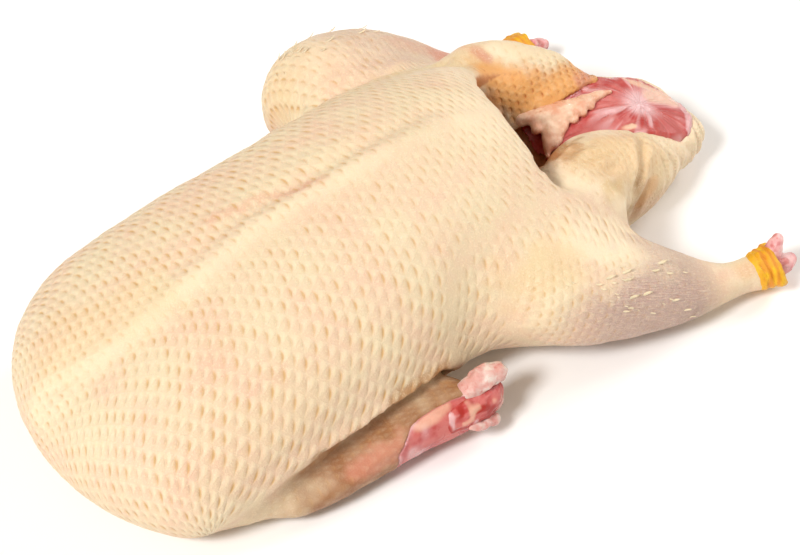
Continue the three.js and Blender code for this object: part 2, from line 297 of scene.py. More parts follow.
def new_object(name, mesh):
    """An object for a mesh, in the scene."""
    piece = bpy.data.objects.new(name, mesh)
    bpy.context.scene.collection.objects.link(piece)
    return piece


def baked(piece):
    """The piece with its modifiers applied to its mesh."""
    depsgraph = bpy.context.evaluated_depsgraph_get()
    mesh = bpy.data.meshes.new_from_object(piece.evaluated_get(depsgraph), depsgraph=depsgraph)
    piece.modifiers.clear()
    old, piece.data = piece.data, mesh
    mesh.name = piece.name
    bpy.data.meshes.remove(old)
    return piece


def wrapped(name, mesh, grain):
    """A new piece in a mesh's outer shape, with even square faces of the given size in metres."""
    piece = new_object(name, mesh)
    remesh = piece.modifiers.new("even faces", "REMESH")
    remesh.mode = "VOXEL"
    remesh.voxel_size = grain
    return baked(piece)


def refine(piece, chosen):
    """Cuts each face whose corners are all chosen into four."""
    with editing(piece.data) as net:
        edges = [edge for edge in net.edges if chosen[edge.verts[0].index] and chosen[edge.verts[1].index]]
        bmesh.ops.subdivide_edges(net, edges=edges, cuts=1, use_grid_fill=True)
    piece.data.update()


def set_mask(mesh, name, values):
    """Keeps a value for each vertex, which a material or a node tree reads by its name."""
    layer = mesh.attributes.new(name, "FLOAT", "POINT")
    layer.data.foreach_set("value", values.astype(np.float32))


def ready(piece, material):
    """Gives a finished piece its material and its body."""
    piece.data.materials.clear()
    piece.data.materials.append(material)
    piece.data.polygons.foreach_set("use_smooth", np.ones(len(piece.data.polygons), bool))
    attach(piece, "root")
    return piece


# ---------------------------------------------------------------- follicle rows

# Past this x the torso's rings fan out round the neck end, about a line at this height.
NECK_X = 45.0
NECK_Z = 5.0
NECK_REACH = 50.0
# The torso's half width and height, by which the cells round it are spread.
GIRTH_WIDE = 74.0
GIRTH_HIGH = 80.0
CELLS_ROUND_TORSO = 70
# The way from one ring of follicles to the next, in mm, at places along the keel and along the near side.
KEEL_PITCH = [[-40, 4.1], [20, 4.1], [60, 4.3], [150, 4.4], [180, 4.0], [194, 3.3], [204, 2.85], [300, 2.7]]
SIDE_PITCH = [[-40, 4.1], [20, 4.1], [60, 4.3], [150, 4.5], [180, 4.1], [200, 3.7], [215, 3.2], [300, 3.0]]
RING_MIDDLE = 125.0  # the x where the rings are counted from
NEAR_STRETCH = 0.23  # how much wider apart the rings are low on the near side, and closer on the far side
FAR_SQUEEZE = 0.12
# How the rings lean towards the tail on the way round the torso: by a share of the girth, and of its square.
LEAN = 0.05
LEAN_RISE = 0.0022
LEAN_GIRTH = 115.0
LEAN_PITCH = 4.3
ROW_BEND = 0.9  # how much each follicle's dimple is bent


def torso_rows(points):
    """Follicle coordinates on the torso: rings along it, and cells round it from the keel."""
    x, y, z = points.T
    fan = np.maximum(NECK_X - x, 0.0)
    rise = z - NECK_Z
    turned = np.arctan2(fan, rise)
    way = np.where(x < NECK_X, NECK_X - NECK_REACH * turned, x)
    height = np.where(x < NECK_X, np.hypot(fan, rise), rise)
    angle = np.arctan2(y / GIRTH_WIDE, height / GIRTH_HIGH)
    girth = np.abs(angle) * GIRTH_HIGH
    stretch = np.where(angle < 0.0, 1.0 + NEAR_STRETCH * smoothstep(5.0, 90.0, girth),
                       1.0 - FAR_SQUEEZE * smoothstep(5.0, 60.0, girth))
    counted = []
    for pitches in (KEEL_PITCH, SIDE_PITCH):
        table = np.array(pitches, float)
        steps = np.linspace(table[0, 0], table[-1, 0], 400)
        pitch = np.interp(steps[1:], table[:, 0], table[:, 1])
        rings = np.concatenate([[0.0], np.cumsum(np.diff(steps) / pitch)])
        counted.append(np.interp(way, steps, rings) - np.interp(RING_MIDDLE, steps, rings))
    beside = smoothstep(30.0, 60.0, girth) * (angle < 0.0)
    ring = (counted[0] + beside * (counted[1] - counted[0])) / stretch
    reach = np.minimum(girth, LEAN_GIRTH)
    ring += (LEAN * reach + LEAN_RISE * reach ** 2) / LEAN_PITCH
    return ring, angle / (2.0 * np.pi) * CELLS_ROUND_TORSO, CELLS_ROUND_TORSO


# Pitch along each lobe in mm, and the follicles round it. The thighs carry the torso's rows.
LIMB_ROWS = {"tail": (4.2, 40), "left_leg": (3.9, 32), "right_leg": (3.9, 32), "right_wing": (4.6, 22),
             "left_wing": (4.6, 22), "rump": (4.5, 30), "left_wall": (4.5, 30), "left_flap": (4.4, 26),
             "right_flap": (4.0, 30), "hanging_fold": (3.5, 16), "vent_fat": (3.5, 16)}


def diagonals(ring, cell):
    """How many follicles have been passed along each diagonal."""
    return ring / 2.0 + cell, ring / 2.0 - cell


def follicle_height(ring, cell):
    """Relief of the skin from -1 to 1: a bent dimple at each follicle, and a puffed cell behind it. The
    follicles are staggered, so they are counted along both diagonals."""
    p, q = diagonals(ring, cell)
    dp, dq = p - np.round(p), q - np.round(q)
    along, across = dp + dq, (dp - dq) / 2.0
    bent = along + ROW_BEND * across ** 2
    dimple = bell(bent + 0.04, 0.20) * bell(across, 0.30)
    puff = bell(along - 0.45, 0.36) * bell(across, 0.36)
    return 0.5 * puff - 0.9 * dimple


# ---------------------------------------------------------------- where each point lies

def on_lobe(owner, *names):
    """Which points are on any of the named lobes."""
    return np.isin(owner, [NAMES.index(name) for name in names])


def cavity_depth(points):
    """How far each point is outside the drawn cavity, in mm, less than 0 in it."""
    return lobe_place(points, CAVITY)[0]


def regions(points):
    """Which lobe each point is on, by its number in NAMES; how far it is, in mm, from where another begins;
    how much it is lining of the drawn cavity; and its place on each of the lobes."""
    fits = {name: lobe_place(points, LOBES[name]) for name in LOBES}
    body = np.stack([fits[name][0] for name in BODY])
    vent = np.stack([fits[name][0] for name in VENT])
    hollow = -cavity_depth(points)
    on_body, on_vent = body.argmin(axis=0), vent.argmin(axis=0)
    body_first, vent_first = np.sort(body, axis=0)[:2], np.sort(vent, axis=0)[:2]
    drawn = np.maximum(body_first[0], hollow)
    owner = np.where(vent_first[0] < drawn, len(BODY) + on_vent,
                     np.where(hollow > body_first[0], len(NAMES) - 1, on_body))
    apart = np.where(vent_first[0] < drawn, np.minimum(vent_first[1] - vent_first[0], drawn - vent_first[0]),
                     np.minimum(vent_first[0] - drawn, np.abs(body_first[0] - hollow)))
    limb = (owner < len(BODY)) & (vent_first[0] >= drawn)
    apart = np.where(limb, np.minimum(apart, body_first[1] - body_first[0]), apart)
    lining = smoothstep(-1.0, 1.0, hollow - body_first[0]) * (vent_first[0] >= drawn)
    lining *= smoothstep(-1.5, -5.0, body_first[0])
    for thigh in ("left_thigh", "right_thigh"):
        owner[on_lobe(owner, thigh)] = NAMES.index("torso")
    return owner, apart, lining, fits


def vent_depth(points):
    """How far each point is inside the skin's edge round the vent, in mm, less than 0 outside it."""
    beside_flap = lobe_place(points, LEFT_FLAP)[0] - lobe_place(points, RUMP)[0]
    return np.minimum(np.minimum(inside(points, VENT_EDGE), points[:, 2] - FLESH_LOW), beside_flap + 1.0)


def wing_place(points, side):
    """Of each point: how far out of a wing it is and its way back from the cut end, both in mm, and its angle
    round the wing from the top outwards."""
    depth, way, angle = lobe_place(points, LOBES[side + "_wing"])
    _, fine = spine_of(LOBES[side + "_wing"])
    return depth, fine[-1] - way, angle if side == "left" else -angle


# The bare meat on a wing: its length, the mm that a radian round the wing comes to, its upper edge as ways
# back from the cut end and degrees from the top, its lower edge, and a depth for all that is off it.
MEAT_LENGTH = 46.0
WING_RADIAN = 14.0
MEAT_EDGE = [[0, 17], [16, 17], [25, 21], [37, 36], [42, 60], [47, 92]]
MEAT_BELOW = math.radians(178.0)
OFF_MEAT = -20.0


def wing_depth(points, side):
    """How far each point is inside the edge of the bare meat on a wing: its outer side, near the cut end."""
    depth, back, outward = wing_place(points, side)
    corner = np.interp(back, *np.array(MEAT_EDGE).T)
    upper = (outward - np.radians(corner)) * WING_RADIAN
    length = MEAT_LENGTH + 1.2 * noise(points, 3.0, 21) - back
    below = (MEAT_BELOW - outward) * WING_RADIAN
    edge = np.minimum(np.minimum(upper + 0.8 * noise(points, 4.0, 22), length), below)
    end = np.where(depth < 2.5, 0.6 - back, OFF_MEAT)
    return np.where(depth < 6.0, np.maximum(edge, end), OFF_MEAT)


# How far the forms of the carcass are moved before they are dressed, in mm.
NEAR_SINK = 8.0  # down, behind the near fold's free edge
FAR_UNDERCUT = 4.5  # in, under the far fold's free edge
FAR_SWELL = 1.4  # out, along that edge
HOLE_SINK = 7.0  # down, in the dark gap beside the fat
GROOVE_IN = 6.5  # in and down, between a wing and the flank
GROOVE_DOWN = 4.5
WING_LIP = 2.2  # out, along the wing's side of that groove
ARMPIT_PULL = (1.2, 4.0, -1.8)  # back, out and down
VALLEY_FILL = 2.6  # out, between the near fold and the thigh
SHANK_PINCH = 0.4  # the share of its thickness that the end of a shank loses


def steepen_vent(points, normals):
    """Turns the folds' free edges over, and sinks what lies behind them."""
    x, y, z = points.T
    depth = vent_depth(points)
    inner = smoothstep(0.0, 5.0, depth) * smoothstep(16.0, 8.0, gap_to(points, NEAR_LIP)) * (y < 6.0)
    points[:, 2] -= NEAR_SINK * inner * smoothstep(38.0, 46.0, z)
    far_gap = gap_to(points, FAR_LIP)
    under = smoothstep(0.0, 2.5, depth) * bell(far_gap, 6.0)
    points -= normals * (FAR_UNDERCUT * under)[:, None]
    points += normals * (FAR_SWELL * bell(far_gap, 3.0) * smoothstep(0.5, -0.5, depth))[:, None]
    hole = bell(np.hypot(x - 260.0, y - 6.0), 9.0) * smoothstep(-1.0, 2.0, depth) * (z < 50.0)
    points[:, 2] -= HOLE_SINK * hole


def tuck_wings(points):
    """Presses a groove between each wing and the flank, and draws the armpit out and down."""
    beside_torso = lobe_place(points, TORSO)[0]
    for side, sign in SIDES.items():
        on_wing, back, _ = wing_place(points, side)
        along = smoothstep(110.0, 80.0, back) * smoothstep(-4.0, 4.0, back)
        tucked = along * (on_wing < 4.0) * smoothstep(13.0, 2.0, beside_torso)
        tucked *= smoothstep(-1.5, 1.0, beside_torso)
        points[:, 1] -= sign * GROOVE_IN * tucked
        points[:, 2] -= GROOVE_DOWN * tucked * smoothstep(6.0, 14.0, points[:, 2])
        lip = along * bell(on_wing - 2.5, 3.5) * (beside_torso < 2.0)
        points[:, 1] += sign * WING_LIP * lip
        hollow = gap_to(points, [(164, sign * 59, 27), (176, sign * 57, 26)])
        pull = np.array(ARMPIT_PULL) * [1.0, sign, 1.0]
        points += pull * (bell(hollow, 9.0) * smoothstep(2.0, 8.0, on_wing))[:, None]


def draw_in_shanks(points):
    """Makes the ends of the legs thinner, so that they stay under their cuffs."""
    x, y, z = points.T
    for side in SIDES:
        limb = np.array(LOBES[side + "_leg"], float)
        axis_y, axis_z = (np.interp(x, limb[:, 0], limb[:, column]) for column in (1, 2))
        beyond = smoothstep(306.0, 312.0, x) * (np.abs(y - axis_y) < 16.0)
        points[:, 1] += (axis_y - y) * SHANK_PINCH * beyond
        points[:, 2] += (axis_z - z) * SHANK_PINCH * beyond


COARSE_BELOW = 2.6  # z under which the faces stay coarse
COARSE_IN_CAVITY = 222.0  # x up to which they do in the cavity


def even_carcass():
    """The carcass in even faces, finer where they show, and kept for every piece that is drawn on it."""
    if "even carcass" in bpy.data.meshes:
        return bpy.data.meshes["even carcass"]
    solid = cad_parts["carcass"].data.copy()
    solid.materials.clear()
    with editing(solid) as net:
        bmesh.ops.remove_doubles(net, verts=net.verts, dist=1e-6)
    piece = wrapped("even carcass", solid, bpy.context.scene.duck_sizes.grain * 2.0)
    mesh = piece.data
    points = smoothed(mesh_points(mesh), mesh_edges(mesh), 5)
    place_points(mesh, points)
    underside = points[:, 2] < COARSE_BELOW
    in_cavity = (cavity_depth(points) < 3.0) & (points[:, 0] < COARSE_IN_CAVITY)
    refine(piece, ~(underside | in_cavity))
    points = smoothed(mesh_points(mesh), mesh_edges(mesh), 2)
    place_points(mesh, points)

    normals = mesh_normals(mesh)
    steepen_vent(points, normals)
    tuck_wings(points)
    draw_in_shanks(points)
    valley = gap_to(points, [(249, -30, 60), (257, -42, 54), (266, -50, 44)])
    points += normals * (VALLEY_FILL * bell(valley, 7.0))[:, None]
    place_points(mesh, smoothed(points, mesh_edges(mesh), 1))
    bpy.data.objects.remove(piece)
    mesh.use_fake_user = True
    return mesh


def patch(name, keep, lift, thickness, levels):
    """A piece cut from the even carcass where keep is true, and made a closed sheet of a thickness in mm.
    lift gives how far each point of the mesh is raised, in mm, and sets the masks on it."""
    mesh = bpy.data.meshes.new(name)
    with editing(even_carcass(), mesh) as net:
        bmesh.ops.delete(net, geom=[vert for vert in net.verts if not keep[vert.index]], context="VERTS")
        loose = [vert for vert in net.verts if not vert.link_faces]
        bmesh.ops.delete(net, geom=loose, context="VERTS")
    piece = new_object(name, mesh)
    finer = piece.modifiers.new("finer", "SUBSURF")
    finer.levels = finer.render_levels = levels
    baked(piece)
    points, normals = mesh_points(piece.data), mesh_normals(piece.data)
    place_points(piece.data, points + normals * lift(piece.data, points)[:, None])
    wall = piece.modifiers.new("wall", "SOLIDIFY")
    wall.thickness = thickness * MM
    wall.offset = -1.0
    return baked(piece)


def blob(name, tubes, grain, lump, seed, passes):
    """One closed lump round all the given tubes, which are runs of x, y, z, half width and half height. grain
    is the side of its faces and lump the height of its bumps, in mm. passes is how often it is smoothed."""
    net = bmesh.new()
    for tube in tubes:
        spine, _ = spine_of(tube, 1.2)
        for x, y, z, wide, high in spine:
            for vert in bmesh.ops.create_icosphere(net, subdivisions=2, radius=1.0)["verts"]:
                vert.co = Vector(((x + HOME[0] + vert.co.x * (wide + high) / 2.0) * MM,
                                  (y + HOME[1] + vert.co.y * wide) * MM,
                                  (z + HOME[2] + vert.co.z * high) * MM))
    mesh = bpy.data.meshes.new(name)
    net.to_mesh(mesh)
    net.free()
    piece = wrapped(name, mesh, grain * MM)
    points = smoothed(mesh_points(piece.data), mesh_edges(piece.data), passes)
    place_points(piece.data, points)
    normals = mesh_normals(piece.data)
    height = lump * (0.65 * noise(points, 5.0, seed) + 0.35 * noise(points, 2.2, seed + 1))
    points = points + normals * height[:, None]
    points[:, 2] = np.maximum(points[:, 2], 0.0)
    place_points(piece.data, points)
    return piece


# ---------------------------------------------------------------- materials

class Tree:
    """Adds nodes to a node tree and joins them up."""

    def __init__(self, tree):
        self.tree = tree

    def fill(self, sockets, values):
        """Gives sockets their values: another node's socket, a node's first one, or a plain value."""
        for key, value in values.items():
            if isinstance(value, bpy.types.Node):
                value = value.outputs[0]
            if isinstance(value, bpy.types.NodeSocket):
                self.tree.links.new(value, sockets[key])
            else:
                sockets[key].default_value = value

    def add(self, kind, inputs=None, **settings):
        """A new node with its settings, and its inputs as fill takes them."""
        node = self.tree.nodes.new(kind)
        for name, value in settings.items():
            setattr(node, name, value)
        self.fill(node.inputs, inputs or {})
        return node

    def math(self, operation, first, second=0.0, clamp=False):
        node = self.add("ShaderNodeMath", {0: first, 1: second}, operation=operation, use_clamp=clamp)
        return node.outputs[0]

    def plus(self, first, second):
        return self.math("ADD", first, second)

    def minus(self, first, second):
        return self.math("SUBTRACT", first, second)

    def times(self, first, second):
        return self.math("MULTIPLY", first, second)

    def ramp(self, value, low, high, out_low=0.0, out_high=1.0):
        """Takes values from low to high, with a smooth rise, to values from out_low to out_high."""
        return self.add("ShaderNodeMapRange", {"Value": value, "From Min": low, "From Max": high,
                                               "To Min": out_low, "To Max": out_high},
                        interpolation_type="SMOOTHSTEP").outputs[0]

    def mix(self, share, first, second):
        """The first colour, turned by share into the second. Each is a socket or a colour's three numbers."""
        first, second = (value if isinstance(value, bpy.types.NodeSocket) else (*value, 1.0)
                         for value in (first, second))
        return self.add("ShaderNodeMix", {0: share, 6: first, 7: second}, data_type="RGBA").outputs[2]

    def stained(self, base, stains):
        """A base colour under stains, each a mask's name and a colour."""
        for name, colour in stains:
            base = self.mix(self.mask(name), base, colour)
        return base

    def noise(self, where, scale, detail=2.0, rough=0.5):
        return self.add("ShaderNodeTexNoise", {"Vector": where, "Scale": scale, "Detail": detail,
                                               "Roughness": rough}).outputs[0]

    def mask(self, name):
        return self.add("ShaderNodeAttribute", attribute_name=name).outputs["Fac"]

    def place(self):
        return self.add("ShaderNodeTexCoord").outputs["Object"]

    def moist(self, place, fine, patches):
        """The wet surface's own group, with its grain and its patches as so many to a metre."""
        return self.add("ShaderNodeGroup", {"Place": place, "Fine": fine, "Patches": patches},
                        node_tree=moist_group()).outputs


def group_of(name, kind, takes, gives):
    """A new node group with its sockets: the group, a Tree to fill it, what it takes in and where it ends."""
    tree = bpy.data.node_groups.new(name, kind)
    for label, socket_kind, default in takes:
        socket = tree.interface.new_socket(label, in_out="INPUT", socket_type="NodeSocket" + socket_kind)
        if default is not None:
            socket.default_value = default
    for label, socket_kind in gives:
        tree.interface.new_socket(label, in_out="OUTPUT", socket_type="NodeSocket" + socket_kind)
    takes_in, ends = tree.nodes.new("NodeGroupInput"), tree.nodes.new("NodeGroupOutput")
    return tree, Tree(tree), takes_in.outputs, ends.inputs


def follicle_group():
    """Follicles in staggered rows, from coordinates that count the cells along both diagonals."""
    if "follicle rows" in bpy.data.node_groups:
        return bpy.data.node_groups["follicle rows"]
    tree, build, takes, gives = group_of(
        "follicle rows", "ShaderNodeTree", [("Rows", "Vector", None)],
        [("Pit", "Float"), ("Ridge", "Float"), ("Height", "Float"), ("Chance", "Float")])
    whole = build.add("ShaderNodeVectorMath", {0: takes["Rows"], 1: (0.5, 0.5, 0.5)}, operation="ADD")
    whole = build.add("ShaderNodeVectorMath", {0: whole}, operation="FLOOR")
    rest = build.add("ShaderNodeVectorMath", {0: takes["Rows"], 1: whole}, operation="SUBTRACT")
    parts = build.add("ShaderNodeSeparateXYZ", {0: rest}).outputs
    along = build.plus(parts[0], parts[1])
    across = build.times(build.minus(parts[0], parts[1]), 0.5)
    chance = build.add("ShaderNodeTexWhiteNoise", {"Vector": whole}, noise_dimensions="2D").outputs["Value"]
    bent = build.plus(along, build.times(build.times(across, across), ROW_BEND))

    def mound(way, middle, long, wide):
        a = build.math("DIVIDE", build.minus(way, middle), long)
        b = build.math("DIVIDE", across, wide)
        square = build.plus(build.times(a, a), build.times(b, b))
        return build.math("EXPONENT", build.times(square, -1.0))

    soft = mound(bent, -0.07, 0.22, 0.29)
    crease = mound(bent, 0.02, 0.10, 0.29)
    puff = mound(along, 0.45, 0.26, 0.36)
    # The dimple and its crease give each follicle's colour mask, which stands partly for painted shade.
    pit_tan_and_shade = build.math("ADD", build.times(soft, 0.45), build.times(crease, 0.85), clamp=True)
    height = build.minus(build.times(puff, 0.5), build.plus(build.times(soft, 0.5), build.times(crease, 0.5)))
    for name, value in (("Pit", pit_tan_and_shade), ("Ridge", puff), ("Height", height), ("Chance", chance)):
        tree.links.new(value, gives[name])
    return tree


def moist_group():
    """Fine wrinkles and soft patches that all the wet surfaces share."""
    if "moist surface" in bpy.data.node_groups:
        return bpy.data.node_groups["moist surface"]
    tree, build, takes, gives = group_of(
        "moist surface", "ShaderNodeTree",
        [("Place", "Vector", None), ("Fine", "Float", 900.0), ("Patches", "Float", 60.0)],
        [("Grain", "Float"), ("Mottle", "Float"), ("Wet", "Float")])
    grain = build.noise(takes["Place"], takes["Fine"], 3.0, 0.6)
    mottle = build.noise(takes["Place"], takes["Patches"], 4.0, 0.55)
    wet = build.ramp(build.noise(takes["Place"], 140.0), 0.42, 0.64)
    for name, value in (("Grain", grain), ("Mottle", mottle), ("Wet", wet)):
        tree.links.new(value, gives[name])
    return tree


def new_material(name):
    """A new material, a Tree to fill it, and the inputs of its surface."""
    material = bpy.data.materials.new(name)
    material.use_nodes = True
    surface = next(node for node in material.node_tree.nodes if node.type == "BSDF_PRINCIPLED")
    return material, Tree(material.node_tree), surface.inputs


def finish_surface(build, surface, base, rough, bump, below=None):
    """Joins up a material's surface. bump is its height, strength and depth in metres. below is how much
    light scatters under it, how far in red, green and blue, the scale of that in metres, and the IOR."""
    height, strength, depth = bump
    bumped = build.add("ShaderNodeBump", {"Strength": strength, "Distance": depth, "Height": height})
    build.fill(surface, {"Base Color": base, "Roughness": rough, "Normal": bumped})
    if below:
        names = ("Subsurface Weight", "Subsurface Radius", "Subsurface Scale", "IOR")
        build.fill(surface, dict(zip(names, below)))


def skin_material(colours):
    """Skin in cream and pink patches under its stains. At each follicle a darker dimple is partly golden skin
    and partly painted shade, the puffed cell behind it is partly lighter skin and partly painted highlight,
    and fine light flecks are painted highlight.
    """
    material, build, surface = new_material("duck skin")
    rows = build.add("ShaderNodeUVMap", uv_map="rows").outputs[0]
    follicles = build.add("ShaderNodeGroup", {"Rows": rows}, node_tree=follicle_group()).outputs
    moist = build.moist(build.place(), 1300.0, 42.0)
    strength = build.mask("follicles")
    amber = build.mask("amber")
    mottle = build.ramp(moist["Mottle"], 0.36, 0.68)
    base = build.mix(mottle, colours.skin, colours.skin_warm)
    base = build.stained(base, [(name, getattr(colours, name)) for name in STAINS])

    parts = build.add("ShaderNodeSeparateXYZ", {0: rows}).outputs
    long = build.times(build.plus(parts[0], parts[1]), 0.35)
    turn = build.times(build.minus(parts[0], parts[1]), 2.2)
    grainway = build.add("ShaderNodeCombineXYZ", {0: long, 1: turn, 2: 0.0})
    streak = build.ramp(build.noise(grainway, 1.6, 3.0, 0.6), 0.40, 0.62)
    streaky = build.times(build.times(streak, build.mask("lilac")), 0.40)
    base = build.mix(streaky, base, colours.streak)

    # Fine light flecks of painted highlight, fewer on the wing and on the orange vent skin.
    highlight_speck = build.ramp(moist["Grain"], 0.50, 0.68, 0.0, 0.45)
    strong = build.math("MAXIMUM", build.mask("olive"), amber)
    highlight_speck = build.times(highlight_speck, build.ramp(strong, 0.0, 0.8, 1.0, 0.15))
    base = build.mix(highlight_speck, base, colours.pale_and_lit)
    uneven = build.ramp(follicles["Chance"], 0.0, 1.0, 0.15, 1.15)
    # The follicle dimples darken, partly in the skin's own golden colour and partly as painted shade in the
    # dimple and its crease.
    depth = build.times(build.times(follicles["Pit"], strength), uneven)
    tan_and_shade = build.mix(amber, colours.pit_tan_and_shade, colours.amber_pit_and_shade)
    base = build.mix(build.times(depth, 0.88), base, tan_and_shade)
    # The puffed cells lighten, partly as lighter skin and partly as painted highlight, less on the orange
    # vent skin.
    plain = build.ramp(amber, 0.0, 1.0, 0.4, 0.1)
    ridge_highlight = build.times(build.times(follicles["Ridge"], strength), plain)
    base = build.mix(ridge_highlight, base, colours.ridge_highlight)
    lining = build.mix(mottle, colours.cavity, colours.cavity_light)
    base = build.mix(build.mask("lining"), base, lining)

    relief = build.times(build.times(follicles["Height"], strength), 0.7)
    fine = build.times(moist["Grain"], 0.34)
    height = build.plus(build.plus(relief, fine), build.times(streaky, 0.9))
    rough = build.ramp(moist["Wet"], 0.0, 1.0, 0.55, 0.42)
    finish_surface(build, surface, base, rough, (height, 0.85, 0.0009),
                   (0.12, (1.0, 0.45, 0.25), 0.003, 1.42))
    return material


def flesh_material(colours):
    """Bare wet muscle under a torn membrane, with its fibres from the piece's own masks."""
    if "bare flesh" in bpy.data.materials:
        return bpy.data.materials["bare flesh"]
    material, build, surface = new_material("bare flesh")
    moist = build.moist(build.place(), 1500.0, 130.0)
    base = build.mix(build.ramp(moist["Mottle"], 0.35, 0.66), colours.flesh, colours.flesh_light)
    base = build.stained(base, [("fibre", colours.flesh_light), ("deep", colours.deep_flesh_and_shade),
                                ("membrane", colours.membrane), ("cream", colours.fat)])
    height = build.plus(build.times(moist["Grain"], 0.35), build.times(build.mask("fibre"), 0.6))
    finish_surface(build, surface, base, build.ramp(moist["Wet"], 0.0, 1.0, 0.42, 0.22),
                   (height, 0.6, 0.0005), (0.15, (1.0, 0.3, 0.25), 0.002, 1.4))
    return material


def soft_material(name, light, dark, blush, rough, patches, blush_share):
    """Wet fat, gristle or bone: two tones in patches, and a pink or red stain in places. On the vent's fat,
    the blush mask's stain is mostly painted shade under its frill.
    """
    if name in bpy.data.materials:
        return bpy.data.materials[name]
    material, build, surface = new_material(name)
    place = build.place()
    moist = build.moist(place, 1400.0, patches)
    base = build.mix(build.ramp(moist["Mottle"], 0.36, 0.64), light, dark)
    start = 0.66 - blush_share * 0.3
    stain = build.ramp(build.noise(place, patches * 1.7), start, start + 0.16)
    base = build.mix(build.times(stain, 0.8), base, blush)
    base = build.stained(base, [("blush", blush)])
    finish_surface(build, surface, base, build.ramp(moist["Wet"], 0.0, 1.0, rough, rough * 0.6),
                   (moist["Grain"], 0.5, 0.0006), (0.18, (1.0, 0.5, 0.35), 0.002, 1.5))
    return material


def cuff_material(colours):
    """The rolled yellow skin at the hock, scored with fine wrinkles round the limb."""
    if "hock cuff" in bpy.data.materials:
        return bpy.data.materials["hock cuff"]
    material, build, surface = new_material("hock cuff")
    place = build.place()
    moist = build.moist(place, 1500.0, 210.0)
    base = build.mix(build.ramp(moist["Mottle"], 0.38, 0.62), colours.cuff, colours.cuff_light)
    base = build.stained(base, [("fold", colours.cuff_fold), ("membrane", colours.flesh_light)])
    stretched = build.add("ShaderNodeMapping", {"Vector": place, "Scale": (3.0, 1.0, 1.0)})
    wrinkle = build.noise(stretched, 520.0, 3.0, 0.6)
    height = build.plus(wrinkle, build.times(moist["Grain"], 0.4))
    finish_surface(build, surface, base, 0.5, (height, 0.8, 0.0008))
    return material


# ---------------------------------------------------------------- the skin

CAVITY_PITCH = 4.0  # mm between rows on the cavity's wall, where they never show
NO_ROUND = 1e9  # cells round a part whose rows don't meet
FLESH_DROP = 3.4  # how far the skin lies below the bare flesh at the vent, in mm
MEAT_DROP = 1.9  # and below the meat on the wings
TAIL_RIPPLE = 5.2  # mm from one ripple of the tail to the next
